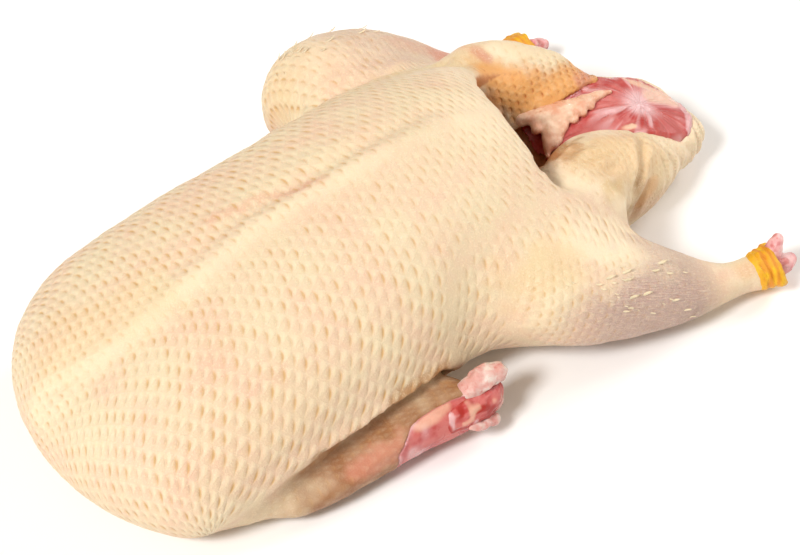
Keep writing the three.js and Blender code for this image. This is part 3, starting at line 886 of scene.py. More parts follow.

# Patches of colour on the skin, some of them painted light and painted shade: lines in mm, how far each
# reaches, and how strong it is.
STAINS = {
    # Lighter cream patches: most are painted light, on the front tip, the top of the rump, the near fold, the
    # tail side, the drumstick tops and the far knee; along the keel and on the wings they are lighter skin.
    "pale_and_lit": [([(26, 4, 58), (60, 0, 74), (90, 1, 81), (115, 4, 84), (141, 3, 88), (175, 1, 91)], 5, 0.5),
             ([(236, -34, 62), (248, -38, 58)], 10, 0.8), ([(262, -46, 52), (272, -44, 46)], 8, 0.8),
             ([(240, -60, 58), (256, -62, 50)], 9, 0.7), ([(200, 86, 68), (228, 86, 68)], 16, 0.5),
             ([(283, -27, 54), (282, -38, 42)], 10, 0.8), ([(309, -27, 38), (331, -21, 21)], 16, 0.75),
             ([(285, -12, 53), (300, -12, 46)], 8, 0.5),
             ([(226, -62, 62), (244, -70, 50), (262, -76, 38)], 9, 0.85),
             ([(222, 0, 92), (246, -14, 84)], 18, 0.6), ([(190, 96, 66), (215, 98, 68)], 16, 0.6),
             ([(272, 46, 64), (298, 38, 54)], 9, 0.8), ([(238, 30, 84), (240, -22, 84)], 12, 0.6),
             ([(336, 14, 26), (346, 0, 22), (342, -14, 20)], 8, 0.8),
             ([(292, -90, 24), (304, -92, 22)], 8, 0.5), ([(10, 8, 44), (30, 4, 60), (60, 0, 74)], 10, 0.5),
             ([(129.5, -71.5, 30.5), (140, -73.5, 28.3), (152.5, -74.5, 28.2)], 2.8, 0.9),
             ([(60, -66, 12), (84, -76, 16), (100, -80, 10), (122, -83, 8)], 4, 0.55)],
    "gold": [([(264, -31, 60), (280, -35, 50), (300, -30, 36)], 16, 0.45),
             ([(258, -28, 62), (272, -27, 58), (284, -27, 54)], 9, 0.65),
             ([(258, -43, 56), (268, -42, 50)], 6, 0.7), ([(192, -68, 60), (215, -66, 60)], 13, 0.5),
             ([(258, -43, 57), (265, -43, 52)], 5, 0.9), ([(257, -33, 62), (268, -36, 56)], 6, 0.6),
             ([(282, 43, 63), (300, 29, 55), (313, 29, 44)], 9, 0.3),
             ([(170, 84, 60), (190, 90, 60)], 14, 0.45),
             ([(214, 50, 70), (240, 46, 70), (258, 46, 66)], 9, 0.6),
             ([(24, 20, 60), (60, 8, 74)], 16, 0.35), ([(300, -90, 20), (312, -92, 20)], 5, 0.6),
             ([(296, 80, 20), (312, 82, 22)], 6, 0.6)],
    "lilac": [([(217, 96, 69), (229, 83, 70), (239, 74, 65)], 14, 0.42)],
    "olive": [([(50, -70, 14), (100, -78, 18), (150, -80, 20), (176, -78, 18)], 24, 1.0),
              ([(50, 70, 14), (100, 78, 18), (150, 80, 20), (176, 78, 18)], 24, 1.0)],
    "amber": [([(262, -28, 61), (280, -30, 53), (298, -24, 44)], 12, 0.22),
              ([(258, 34, 68), (268, 27, 60), (279, 22, 51), (294, 23, 48), (308, 27, 44)], 12, 1.0),
              ([(258, 26, 60), (268, 20, 50)], 7, 1.0), ([(295, -36, 33), (285, -38, 28)], 5, 0.45),
              ([(262, -18, 58), (252, -26, 61)], 6, 0.5),
              ([(130, -69.5, 32), (143, -69, 32), (156, -67, 31)], 4, 0.55),
              ([(274, -20, 57), (286, -20, 54)], 5, 0.3)],
    # Dark patches, all painted shade: in the creases between the wings and the flank, in the folds at the
    # vent and under the lips of both folds.
    "brown_shade": [([(252, -26, 62), (262, -22, 60)], 3.0, 0.45), ([(286, -37, 42), (281, -38, 30)], 3.5, 0.5),
              ([(128, -67, 34), (142, -65.5, 34), (158, -61.5, 31)], 4, 0.8),
              ([(128, 67, 34), (142, 65.5, 34), (158, 61.5, 31)], 4, 0.8),
              ([(90, -72, 30), (108, -72, 30)], 6, 0.45), ([(249, -18, 60), (259, -12, 57)], 5, 0.95),
              ([(252, -23, 61), (264, -18, 58)], 2.4, 0.7),
              ([(250, -20, 61), (262, -15, 57), (272, -12, 56)], 1.6, 0.6),
              ([(258, 22, 50), (266, 20, 47)], 4, 0.6)],
    "blush": [([(40, -60, 50), (62, -62, 56), (84, -60, 58)], 20, 0.13),
              ([(200, 80, 70), (232, 82, 66)], 18, 0.1), ([(186, -80, 34), (214, -86, 30)], 10, 0.12),
              ([(103, 21, 81), (122, 17, 84), (139, 9, 87), (147, 7, 89)], 3.4, 0.32),
              ([(137, 9, 87), (143, 8, 88)], 3, 0.5), ([(84, -55, 67), (86, -52, 68)], 5, 0.25),
              ([(179, -64, 58), (172, -67, 50), (174, -67, 44)], 3.5, 0.55),
              ([(255, 66, 58), (263, 45, 67)], 4, 0.7),
              ([(262, 74, 44), (280, 79, 31), (296, 81, 23)], 12, 0.85),
              ([(240, 80, 63), (262, 74, 46)], 7, 0.3),
              ([(102, -79, 20), (114, -80, 21), (122, -79, 19)], 6, 0.62),
              ([(290, -90, 26), (302, -92, 22)], 5, 0.3), ([(60, -40, 70), (75, -30, 76)], 8, 0.12),
              ([(308, 27, 43), (300, 22, 46)], 4, 0.7)],
}
# Folds pressed into the skin, or raised where the depth is less than 0: lines, half width and depth in mm.
CREASES = [
    ([(302, -15, 43), (297, -23, 46), (292, -30, 47), (286, -36, 43), (280, -39.5, 39)], 2.6, 2.4),
    ([(290, -37, 34), (284, -38.5, 28), (281, -38, 16)], 2.4, 1.6),
    ([(249, -21, 61), (257, -17, 59), (264, -14, 57)], 1.5, 1.0),
    ([(251, -26, 62), (260, -22, 60), (270, -20, 58)], 1.6, 1.1),
    ([(254, -31, 62), (263, -28, 60), (274, -27, 57)], 1.8, 1.1),
    ([(256, -37, 60), (265, -36, 57), (274, -34, 54)], 2.0, 1.1),
    ([(259, -43, 56.5), (266, -42, 52), (270, -44, 46)], 2.2, 1.3),
    ([(300, -22, 45), (306, -30, 34), (303, -34, 22)], 1.7, 0.9),
    ([(309, -22, 40), (314, -29, 27), (308, -32, 16)], 1.7, 0.9),
    ([(318, -23, 33), (322, -26, 22), (316, -29, 12)], 1.7, 0.9),
    ([(327, -21, 28), (331, -21, 18)], 1.6, 0.8),
    ([(246, 56, 65), (260, 54, 64), (274, 51, 61), (290, 45, 55)], 8.0, -2.6),
    ([(70, -79, 22), (100, -83, 19), (122, -82, 18)], 1.8, 0.7),
    ([(104, -76, 27), (126, -76, 27), (146, -76, 28)], 1.6, 0.6),
    ([(171, -68, 40), (176, -66, 52), (184, -62, 60), (194, -60, 64)], 3.0, 1.6),
    ([(178, -69, 38), (184, -68, 46), (192, -66, 55)], 2.2, 0.9),
    ([(184, -72, 33), (192, -74, 42), (200, -74, 50)], 2.2, 0.7),
    ([(159, 52, 76), (187, 62, 67), (205, 58, 71), (226, 58, 69), (244, 59, 64)], 3.2, 1.6),
    ([(12, 10, 45), (23, 4, 54), (35, -1, 62)], 3.0, 0.7),
    ([(26, 4, 58), (45, 1, 68), (60, 0, 74), (90, 1, 81), (115, 4, 84), (141, 3, 88),
      (175, 1, 91), (215, 1, 92)], 4.6, -1.6),
    ([(80, 12, 79), (110, 15, 83), (141, 13, 87), (175, 11, 90), (205, 10, 91)], 3.6, 0.9),
    ([(224, 40, 79), (240, 40, 73), (256, 44, 67)], 2.4, 0.9),
    ([(232, 46, 74), (246, 50, 67), (258, 56, 60)], 2.0, 0.7),
]


def spots(points, marks, seed):
    """A mask from patches along lines, with uneven edges."""
    total = np.zeros(len(points))
    ragged = 1.0 + 0.35 * noise(points, 6.0, seed) + 0.2 * noise(points, 2.5, seed + 1)
    for line, reach, strength in marks:
        gap = gap_to(points, line)
        total = np.maximum(total, strength * smoothstep(1.35, 0.35, gap / reach * ragged))
    return total


def write_rows(mesh, rows, owner, sway):
    """A UV map of the follicle rows. Each face takes them all from the lobe that it lies on."""
    corner_vertex = read_all(mesh.loops, "vertex_index", kind=int)
    starts = read_all(mesh.polygons, "loop_start", kind=int)
    totals = read_all(mesh.polygons, "loop_total", kind=int)
    face_of = np.repeat(np.arange(len(starts)), totals)
    first = corner_vertex[starts]
    face_owner = owner[first]
    ring, cell = np.zeros(len(corner_vertex)), np.zeros(len(corner_vertex))
    for number, (lobe_ring, lobe_cell, cells) in rows.items():
        here = face_owner[face_of] == number
        which = corner_vertex[here]
        anchor = lobe_cell[first[face_of[here]]]
        ring[here] = lobe_ring[which]
        cell[here] = lobe_cell[which] - cells * np.round((lobe_cell[which] - anchor) / cells)
    ring += sway[0][corner_vertex]
    cell += sway[1][corner_vertex]
    layer = mesh.uv_layers.new(name="rows")
    layer.data.foreach_set("uv", np.stack(diagonals(ring, cell), axis=1).astype(np.float32).ravel())


# The upper edge of the dark drumstick, as x and z.
DARK_EDGE = [[217.0, 49.0], [240.0, 50.0], [253.0, 46.0], [262.0, 42.0], [276.0, 33.0]]


def drumstick_lilac(points, owner):
    """Where the drumstick's thin skin shows dark meat: its outer and lower side, and all of its thin end."""
    x, y, z = points.T
    edge = np.interp(x, *np.array(DARK_EDGE).T) + 3.0 * noise(points, 7.0, 31)
    side = smoothstep(5.0, -7.0, z - edge) * smoothstep(192.0, 232.0, x) * smoothstep(284.0, 268.0, x)
    band = 0.6 * smoothstep(246.0, 262.0, x) * smoothstep(288.0, 274.0, x)
    here = on_lobe(owner, "right_leg") | (on_lobe(owner, "torso") & (y < -62.0) & (x > 185.0))
    far = 0.35 * smoothstep(200.0, 232.0, x) * smoothstep(275.0, 255.0, x) * on_lobe(owner, "left_leg")
    return np.maximum(np.maximum(side, band) * here, far)


def cavity_lining(points, normals, lining):
    """How much each point is lining: as much as regions gave it where it faces into the drawn cavity, and all
    of the cavity's mouth under the far fold."""
    x, _, z = points.T
    hollow = np.array(CAVITY, float)
    middle = np.stack([x] + [np.interp(x, hollow[:, 0], hollow[:, column]) for column in (1, 2)], axis=1)
    way = middle - points
    inward = (normals * way).sum(axis=1) / np.maximum(np.linalg.norm(way, axis=1), 1e-6)
    lining = lining * np.maximum(smoothstep(242.0, 232.0, x), smoothstep(0.05, 0.4, inward))
    mouth = smoothstep(190.0, 200.0, x) * smoothstep(259.0, 251.0, x)
    mouth *= smoothstep(66.0, 58.0, z) * (cavity_depth(points) < 9.0)
    return np.maximum(lining, smoothstep(0.1, 0.5, inward) * mouth)


def follicle_rows(points, fits):
    """By each lobe's number: the ring and the cell that each point is in, and how many cells go round."""
    rows = {NAMES.index("torso"): torso_rows(points)}
    for name, (pitch, cells) in LIMB_ROWS.items():
        _, way, angle = fits[name]
        rows[NAMES.index(name)] = (way / pitch, angle / (2.0 * np.pi) * cells, cells)
    rows[NAMES.index("cavity")] = (points[:, 0] / CAVITY_PITCH, points[:, 1] / CAVITY_PITCH, NO_ROUND)
    return rows


def follicle_strength(points, owner, apart, lining, fits, torso_cell, girth, vent):
    """How clear the follicles are at each point: faint on the keel, near seams and on the limbs, and none on
    the lining."""
    x, y, z = points.T
    keel = bell(y + 2.0, 5.0) * smoothstep(20.0, 36.0, x) * smoothstep(252.0, 232.0, x)
    bare = bell(gap_to(points, [(10, 8, 44), (30, 4, 60), (60, 0, 74)]), 9.0)
    torso = np.where(torso_cell < 0.0, 0.85 + 0.15 * smoothstep(38.0, 88.0, girth), 0.9)
    torso = np.maximum(torso, 1.1 * smoothstep(185.0, 205.0, x) * smoothstep(42.0, 56.0, np.abs(y)))
    torso *= 1.0 - 0.85 * np.maximum(keel, 0.5 * bare)
    shares = {"torso": torso, "left_leg": 0.9, "right_leg": 0.6, "left_flap": 1.0, "right_flap": 0.35,
              "tail": 0.6}
    share = np.select([on_lobe(owner, name) for name in shares], list(shares.values()), 0.45)
    strength = share * smoothstep(0.0, 3.5, apart) * smoothstep(0.5, 3.0, z) * (1.0 - lining)
    for name in ("left_leg", "right_leg"):
        leg = on_lobe(owner, name)
        strength[leg] *= 0.35 + 0.65 * smoothstep(85.0, 40.0, fits[name][1][leg])
    strength *= 1.0 - 0.5 * on_lobe(owner, "left_wing", "right_wing")
    strength *= 1.0 - 0.75 * smoothstep(31.0, 39.0, y) * on_lobe(owner, "left_flap")
    strength *= 1.0 - 0.45 * smoothstep(178.0, 196.0, x) * smoothstep(60.0, 72.0, y)
    strength *= 1.0 - 0.3 * smoothstep(135.0, 180.0, x) * on_lobe(owner, "torso")
    return strength * smoothstep(0.0, -3.0, vent)


def fold_relief(points, owner, vent):
    """Lumps, creases and the tail's ripples, and the drop from the skin to the bare flesh, in mm."""
    x, _, z = points.T
    relief = 0.25 * noise(points, 9.0, 8) + 0.12 * noise(points, 4.0, 9)
    for line, wide, deep in CREASES:
        gap, along = line_gap(points, line)
        fade = np.sin(np.pi * np.clip(along, 0.04, 0.96)) ** 0.5
        relief += deep * fade * (0.45 * bell(gap - wide * 1.9, wide) - bell(gap, wide))
    relief -= FLESH_DROP * smoothstep(0.0, 2.2, vent) - 0.5 * bell(vent + 1.6, 1.3)
    for side in SIDES:
        relief -= MEAT_DROP * smoothstep(-0.4, 1.4, wing_depth(points, side))
    ripple = np.sin(x * 2.0 * np.pi / TAIL_RIPPLE + 2.0 * noise(points, 12.0, 14))
    ripple *= smoothstep(296.0, 306.0, x) * smoothstep(6.0, 12.0, z)
    return relief + on_lobe(owner, "tail") * 0.6 * ripple


def build_skin(sizes, colours):
    """The whole skin: its relief, its follicle rows and the masks that colour it."""
    mesh = even_carcass().copy()
    mesh.name = "skin"
    mesh.use_fake_user = False
    piece = new_object("skin", mesh)
    points = mesh_points(mesh)
    x = points[:, 0]
    owner, apart, lining, fits = regions(points)
    lining = cavity_lining(points, mesh_normals(mesh), lining)
    rows = follicle_rows(points, fits)
    sway = (0.16 * noise(points, 14.0, 3) + 0.06 * noise(points, 5.0, 4),
            0.09 * noise(points, 12.0, 5) + 0.04 * noise(points, 5.0, 6))
    write_rows(mesh, rows, owner, sway)
    torso_cell = rows[NAMES.index("torso")][1]
    girth = np.abs(torso_cell) * 2.0 * np.pi * GIRTH_HIGH / CELLS_ROUND_TORSO
    vent = vent_depth(points)
    strength = follicle_strength(points, owner, apart, lining, fits, torso_cell, girth, vent)

    ring, cell = np.zeros(len(points)), np.zeros(len(points))
    for number, (lobe_ring, lobe_cell, _) in rows.items():
        here = owner == number
        ring[here], cell[here] = lobe_ring[here], lobe_cell[here]
    even = smoothstep(2.6, 4.2, np.interp(x, [190.0, 235.0], [4.2, 2.9])) * 0.7 + 0.3
    even *= np.where(torso_cell < 0.0, 1.0 - 0.5 * smoothstep(50.0, 95.0, girth), 1.0)
    relief = follicle_height(ring + sway[0], cell + sway[1]) * strength * even * sizes.follicle_depth / MM
    relief += fold_relief(points, owner, vent)
    raised = points + mesh_normals(mesh) * relief[:, None]
    raised[:, 2] = np.maximum(raised[:, 2], 0.0)
    place_points(mesh, raised)

    set_mask(mesh, "follicles", strength)
    for number, name in enumerate(STAINS):
        values = spots(raised, STAINS[name], 50 + number * 3)
        if name == "lilac":
            values = np.maximum(values, drumstick_lilac(raised, owner))
        if name == "olive":
            values *= on_lobe(owner, "left_wing", "right_wing")
            values *= 0.3 + 0.7 * smoothstep(60.0, 96.0, x)
            values *= 1.0 + 0.3 * noise(raised, 8.0, 15) + 0.25 * noise(raised, 3.0, 16)
            values = smoothed(values, mesh_edges(mesh), 3).clip(0, 1)
        set_mask(mesh, name, values)
    set_mask(mesh, "lining", np.maximum(lining, smoothstep(0.5, 3.0, vent)))
    ready(piece, skin_material(colours))
    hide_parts("carcass")
    return piece


# ---------------------------------------------------------------- flesh and fat at the vent

FAN = (319.0, 2.0)  # x and y of the patch of membrane that the muscle's fibres fan out from
FLESH_START = 264.0  # x where the bare flesh begins
FLESH_UNDER_SKIN = -2.0  # how far it runs on under the skin round the vent, as a depth inside the skin's edge


def rump_relief(mesh, points):
    """Muscle fibres that fan out from a patch of membrane, with a bulge towards the tail."""
    x, y, _ = points.T
    depth = vent_depth(points)
    from_fan = np.hypot(x - FAN[0], y - FAN[1])
    turn = np.arctan2(y - FAN[1], x - FAN[0])
    bend = turn * 6.0 + 0.35 * noise(points, 9.0, 60)
    rays = np.stack([bend, from_fan * 0.09, np.full(len(points), 3.0)], axis=1)
    fibre = 0.75 * noise(rays, 1.0, 61) + 0.45 * noise(rays * [2.4, 1.6, 1.0], 1.0, 62)
    bulge = gap_to(points, [(316, -12, 36), (326, -11.5, 33), (334, -12.5, 29)])
    on_bulge = smoothstep(10.0, 5.5, bulge)
    far_gap = gap_to(points, FAR_LIP)
    near_fan = smoothstep(12.0, 3.0, from_fan + 2.0 * noise(points, 5.0, 64))
    strands = smoothstep(0.10, 0.60, fibre) * smoothstep(44.0, 14.0, from_fan) * (1.0 - on_bulge)
    rim = gap_to(points, [(342, -2, 27), (340, -9, 27), (334, -16, 26)])
    seam = gap_to(points, [(319, -3, 37), (316, -8, 36), (313, -12, 36)])
    cream = gap_to(points, [(327, 5, 35), (333, 3, 32), (337, 1, 30)])
    bit = gap_to(points, [(301, -6, 41), (306, -8, 40)])
    top = gap_to(points, [(311, 24, 41), (320, 17, 41), (330, 10, 36), (337, 4, 31)])
    masks = {
        "fibre": [0.8 * smoothstep(-0.1, 0.5, fibre) * (1.0 - 0.5 * on_bulge)],
        "membrane": [0.8 * near_fan, 0.55 * strands, 0.7 * smoothstep(2.4, 1.0, np.abs(rim - 2.0)),
                     0.7 * smoothstep(1.5, 0.5, seam), 0.6 * smoothstep(8.0, 3.0, cream)],
        "cream": [0.6 * smoothstep(6.0, 2.5, cream), 0.9 * smoothstep(3.0, 1.6, bit),
                  0.7 * smoothstep(3.5, 1.5, top) * (x > 322.0)],
        # The deep red under the far fold's lip and at the front, under the fat, is painted shade; on the
        # bulge and along the rim it is darker muscle.
        "deep": [0.95 * smoothstep(10.0, 3.0, far_gap) * (x < 300.0),
                 0.5 * on_bulge * smoothstep(-0.3, 0.4, fibre), 0.8 * smoothstep(2.0, 0.6, rim),
                 0.5 * smoothstep(278.0, 266.0, x)]}
    for name, shares in masks.items():
        set_mask(mesh, name, np.clip(np.maximum.reduce(shares), 0.0, 1.0))
    height = -2.2 + 2.4 * smoothstep(-1.4, 1.6, depth) + 0.55 * fibre * smoothstep(2.0, 9.0, from_fan)
    height += 1.5 * on_bulge + 0.6 * smoothstep(3.0, 1.0, rim) - 0.5 * bell(seam - 2.0, 1.2)
    height += 0.7 * smoothstep(7.0, 3.0, cream) * (0.6 + 0.4 * noise(points, 3.0, 63))
    height += 1.4 * bell(bit, 2.4) - 2.0 * bell(far_gap, 4.0)
    return height


def build_rump_flesh(colours):
    """The bare flesh between the two folds at the vent."""
    points = mesh_points(even_carcass())
    keep = vent_depth(points) > FLESH_UNDER_SKIN
    keep &= points[:, 0] > FLESH_START + 1.5 * noise(points, 5.0, 65)
    piece = patch("rump_flesh", keep, rump_relief, thickness=1.1, levels=2)
    return ready(piece, flesh_material(colours))


# The sheet of fat, its frilled edge and the tongues that hang from it, as tubes.
VENT_FAT_TUBES = [
    [[263, 20, 46, 3, 3], [270, 17, 46.5, 4.6, 3.4], [276, 14.5, 46.5, 5.8, 3.6], [283, 12.5, 46.5, 6.2, 3.4],
     [290, 11.5, 46, 5.4, 3], [297, 12, 45.3, 4, 2.6], [303, 13, 44.6, 2.8, 2], [310, 12, 43.4, 1.2, 1.2]],
    [[270, 15, 46, 3.4, 2.6], [267, 12.5, 44.8, 2.8, 2.6]],
    [[275, 12, 46, 3.2, 2.6], [272.5, 9, 44.6, 3, 2.6]],
    [[280, 10, 46, 3.2, 2.6], [278, 6.5, 45, 2.8, 2.5]], [[285, 9, 46, 3, 2.4], [284, 6.3, 45.2, 2.6, 2.3]],
    [[291, 9, 46, 2.8, 2.2], [289.5, 6.8, 45.2, 2.2, 2]], [[297, 10, 45, 2.2, 2], [295.5, 8, 44.8, 1.8, 1.7]],
    [[273, 10, 44.6, 4.6, 3], [270, 6.5, 43, 4, 2.8], [266.5, 3, 41.6, 3, 2.4], [263.2, -0.7, 40, 1.7, 1.8]],
    [[277, 7, 44, 3.4, 2.6], [272, 3.4, 42.6, 2.8, 2.2], [267, 1.4, 41.2, 2, 2]],
]


def build_vent_fat(colours):
    """The soft fat on the flesh, with painted shade along the lower edge of its frill and darker colour on
    the tongue that hangs below it.
    """
    piece = blob("vent_fat", VENT_FAT_TUBES, grain=0.6, lump=0.9, seed=71, passes=5)
    mesh = piece.data
    points = mesh_points(mesh)
    below = gap_to(points, [(269, 8, 43), (266, 3, 41), (263, -1, 40)])
    frill = gap_to(points, [(266, 14, 43), (271, 8, 43), (280, 5, 43), (291, 5, 44)])
    # Painted shade along the lower edge of the frill, and darker colour along the hanging tongue.
    stain = np.maximum(0.55 * smoothstep(5.0, 1.5, below), 0.6 * smoothstep(3.2, 1.2, frill))
    set_mask(mesh, "blush", stain)
    material = soft_material("vent fat", colours.fat, colours.fat_dark, colours.fat_stain_and_shade,
                             rough=0.38, patches=150.0, blush_share=0.1)
    return ready(piece, material)


# ---------------------------------------------------------------- hocks

def limb_frame(stations):
    """The middle of a limb's cut end, its heading there, and two directions across it."""
    end, before = np.array(stations[-1][:3], float), np.array(stations[-2][:3], float)
    heading = (end - before) / np.linalg.norm(end - before)
    across = np.cross([0.0, 0.0, 1.0], heading)
    across /= np.linalg.norm(across)
    return end, heading, across, np.cross(heading, across)


# The cuff's outline from where it leaves the shank, over its rolled rim and down to the bone: way and radius.
CUFF_OUTLINE = [(-12.5, 0.0), (-12, 5.0), (-11.4, 8.4), (-10, 9.2), (-8.2, 10.2), (-6.8, 9.5), (-5.2, 10.7),
                (-3.6, 10.0), (-1.6, 11.5), (0.6, 11.4), (2.2, 10.4), (1.8, 8.8), (-0.6, 7.4), (-2.0, 5.6),
                (-2.6, 3.0), (-2.8, 0.0)]
CUFF_FOLDS = ((-6.8, 1.3), (-3.6, 1.2))  # where the cuff's deepest folds are, and their half widths
CUFF_WAVES = ((3, 0.05, 1), (7, 0.03, 2))  # waves round it, their share of its radius, and turns of its seed
CUFF_SLANT = 3.2  # how far its top and underside are moved along the limb
CUFF_FLAT = 0.95  # its height as a share of its width
CUFF_RINGS = 70
CUFF_SIDES = 72


def build_cuff(name, limb, seed, stretch, colours):
    """A cuff turned round the limb's end, with wavy folds. stretch is how long and how thick it is made."""
    end, heading, across, rise = limb_frame(limb)
    outline = np.array(CUFF_OUTLINE) * stretch
    mark = np.concatenate([[0.0], np.cumsum(np.hypot(*np.diff(outline, axis=0).T))])
    fine = np.linspace(0.0, mark[-1], CUFF_RINGS)
    way, radius = np.interp(fine, mark, outline[:, 0]), np.interp(fine, mark, outline[:, 1])
    for _ in range(2):
        way[1:-1] = (way[:-2] + 2 * way[1:-1] + way[2:]) / 4
        radius[1:-1] = (radius[:-2] + 2 * radius[1:-1] + radius[2:]) / 4
    turns = np.arange(CUFF_SIDES) / CUFF_SIDES * 2 * np.pi
    rings = []
    for place, size in zip(way[1:-1], radius[1:-1]):
        lift = smoothstep(-13.0 * stretch[0], -2.0, place)
        for turn in turns:
            folded = 1.0
            for waves, share, shift in CUFF_WAVES:
                folded += share * lift * math.sin(waves * turn + shift * seed)
            folded *= size
            back = -CUFF_SLANT * math.sin(turn - 0.3) * (0.4 + 0.6 * lift)
            rings.append(end + heading * (place + back) + across * folded * math.cos(turn)
                         + rise * folded * CUFF_FLAT * math.sin(turn))
    points = np.array([end + heading * way[0]] + rings + [end + heading * way[-1]])
    faces = []
    count = len(way) - 2
    for i in range(count - 1):
        for j in range(CUFF_SIDES):
            a, b = 1 + i * CUFF_SIDES + j, 1 + i * CUFF_SIDES + (j + 1) % CUFF_SIDES
            faces.append((a, b, b + CUFF_SIDES, a + CUFF_SIDES))
    last = len(points) - 1
    for j in range(CUFF_SIDES):
        faces.append((0, 1 + (j + 1) % CUFF_SIDES, 1 + j))
        start = 1 + (count - 1) * CUFF_SIDES
        faces.append((last, start + j, start + (j + 1) % CUFF_SIDES))
    mesh = bpy.data.meshes.new(name)
    mesh.from_pydata(((points + HOME) * MM).tolist(), [], faces)
    with editing(mesh) as net:
        bmesh.ops.recalc_face_normals(net, faces=net.faces)
    piece = new_object(name, mesh)
    points, normals = mesh_points(mesh), mesh_normals(mesh)
    place = (points - end) @ heading
    wrinkle = noise(points * [2.4, 1.0, 1.0], 3.0, seed + 80)
    outer = smoothstep(5.5, 7.5, np.linalg.norm(points - end - place[:, None] * heading, axis=1))
    points = points + normals * (0.45 * wrinkle * outer)[:, None]
    points[:, 2] = np.maximum(points[:, 2], 0.1)
    place_points(mesh, points)
    folds = sum(smoothstep(wide, wide - 1.0, np.abs(place - middle)) for middle, wide in CUFF_FOLDS)
    set_mask(mesh, "fold", 0.8 * outer * (folds + 0.6 * smoothstep(0.1, 0.6, -wrinkle)).clip(0, 1))
    set_mask(mesh, "membrane", 1.0 - outer)
    return ready(piece, cuff_material(colours))


def on_side(tubes, sign):
    """Tubes drawn for the left side, brought to the side with the given sign."""
    return [[[x, sign * y, z, wide, high] for x, y, z, wide, high in tube] for tube in tubes]


def build_bone(node, limb, knobs, radius, colours):
    """A cut bone: its shaft in the limb and its knobs past the cut, in place of the plain ones."""
    x, _, z = limb[-1][:3]
    shaft = [list(station[:3]) + [radius, radius] for station in limb[-3:]]
    if "wing" in node:
        lump, redness = 1.5, 0.3
        material = soft_material("wing gristle", colours.gristle, colours.gristle_dark, colours.flesh_light,
                                 rough=0.34, patches=190.0, blush_share=0.25)
    else:
        lump, redness = 0.9, 0.85
        material = soft_material("shank bone", colours.bone, colours.bone_dark, colours.flesh_light,
                                 rough=0.36, patches=170.0, blush_share=0.3)
    piece = blob(node.replace("_bone", "_joint"), [shaft] + knobs, grain=0.55, lump=lump, seed=90 + len(node),
                 passes=3)
    points = mesh_points(piece.data)
    low = smoothstep(z + 3.0, z - 1.5, points[:, 2]) * smoothstep(x + 5.0, x - 1.0, points[:, 0])
    blood = np.maximum(low, smoothstep(0.15, 0.5, noise(points, 3.5, 93)))
    set_mask(piece.data, "blush", redness * blood)
    ready(piece, material)
    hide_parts(node)
    return piece


# ---------------------------------------------------------------- wings

def build_wing_meat(side, colours):
    """Red meat bared on a wing's outer side, with yellow fat under a clear membrane at its front."""
    points = mesh_points(even_carcass())
    keep = wing_depth(points, side) > -1.8

    def relief(mesh, points):
        depth = wing_depth(points, side)
        _, back, outward = wing_place(points, side)
        fibres = np.stack([back * 0.12, outward * 5.0, np.full(len(points), 5.0)], axis=1)
        fibre = 0.7 * noise(fibres, 1.0, 95) + 0.4 * noise(fibres * [1.5, 2.0, 1.0], 1.0, 96)
        front = smoothstep(26.0, 36.0, back)
        rim = smoothstep(2.2, 0.6, depth)
        set_mask(mesh, "fibre", 0.6 * smoothstep(0.0, 0.6, fibre))
        set_mask(mesh, "membrane", np.clip(0.3 * rim + front * (0.4 + 0.6 * noise(points, 4.0, 97)), 0, 1))
        yellow = gap_to(points, [(133, -79, 26), (141, -78, 25), (147, -77, 26)])
        set_mask(mesh, "cream", 0.5 * smoothstep(4.0, 1.5, yellow) * smoothstep(0.5, 2.0, depth))
        set_mask(mesh, "deep", 0.8 * smoothstep(1.2, 0.2, np.abs(depth - 1.0)) * (1.0 - 0.3 * front))
        return (-2.0 + 1.7 * smoothstep(-1.0, 1.6, depth) + 0.5 * fibre * smoothstep(1.0, 3.0, depth)
                + 0.5 * bell(depth - 1.0, 0.7))

    piece = patch(side + "_wing_meat", keep, relief, thickness=1.2, levels=1)
    return ready(piece, flesh_material(colours))


def build_wing_end(side, colours):
    """The torn end of a wing's meat, round its bone."""
    tubes = on_side(WING_END_MEAT, SIDES[side])
    piece = blob(side + "_wing_end", tubes, grain=0.7, lump=0.9, seed=120, passes=3)
    points = mesh_points(piece.data)
    streaks = noise(points * [0.4, 1.0, 1.6], 1.6, 121)
    for name, values in (("fibre", 0.8 * smoothstep(0.1, 0.6, streaks)),
                         ("membrane", 0.7 * smoothstep(0.35, 0.7, noise(points, 3.4, 122))),
                         ("cream", 0.6 * smoothstep(0.4, 0.8, noise(points, 4.0, 123))),
                         ("deep", 0.9 * smoothstep(0.0, 0.5, -noise(points, 3.0, 124)))):
        set_mask(piece.data, name, values)
    return ready(piece, flesh_material(colours))


# ---------------------------------------------------------------- loose flakes of skin on the drumsticks

FLAKE_SEED = 4


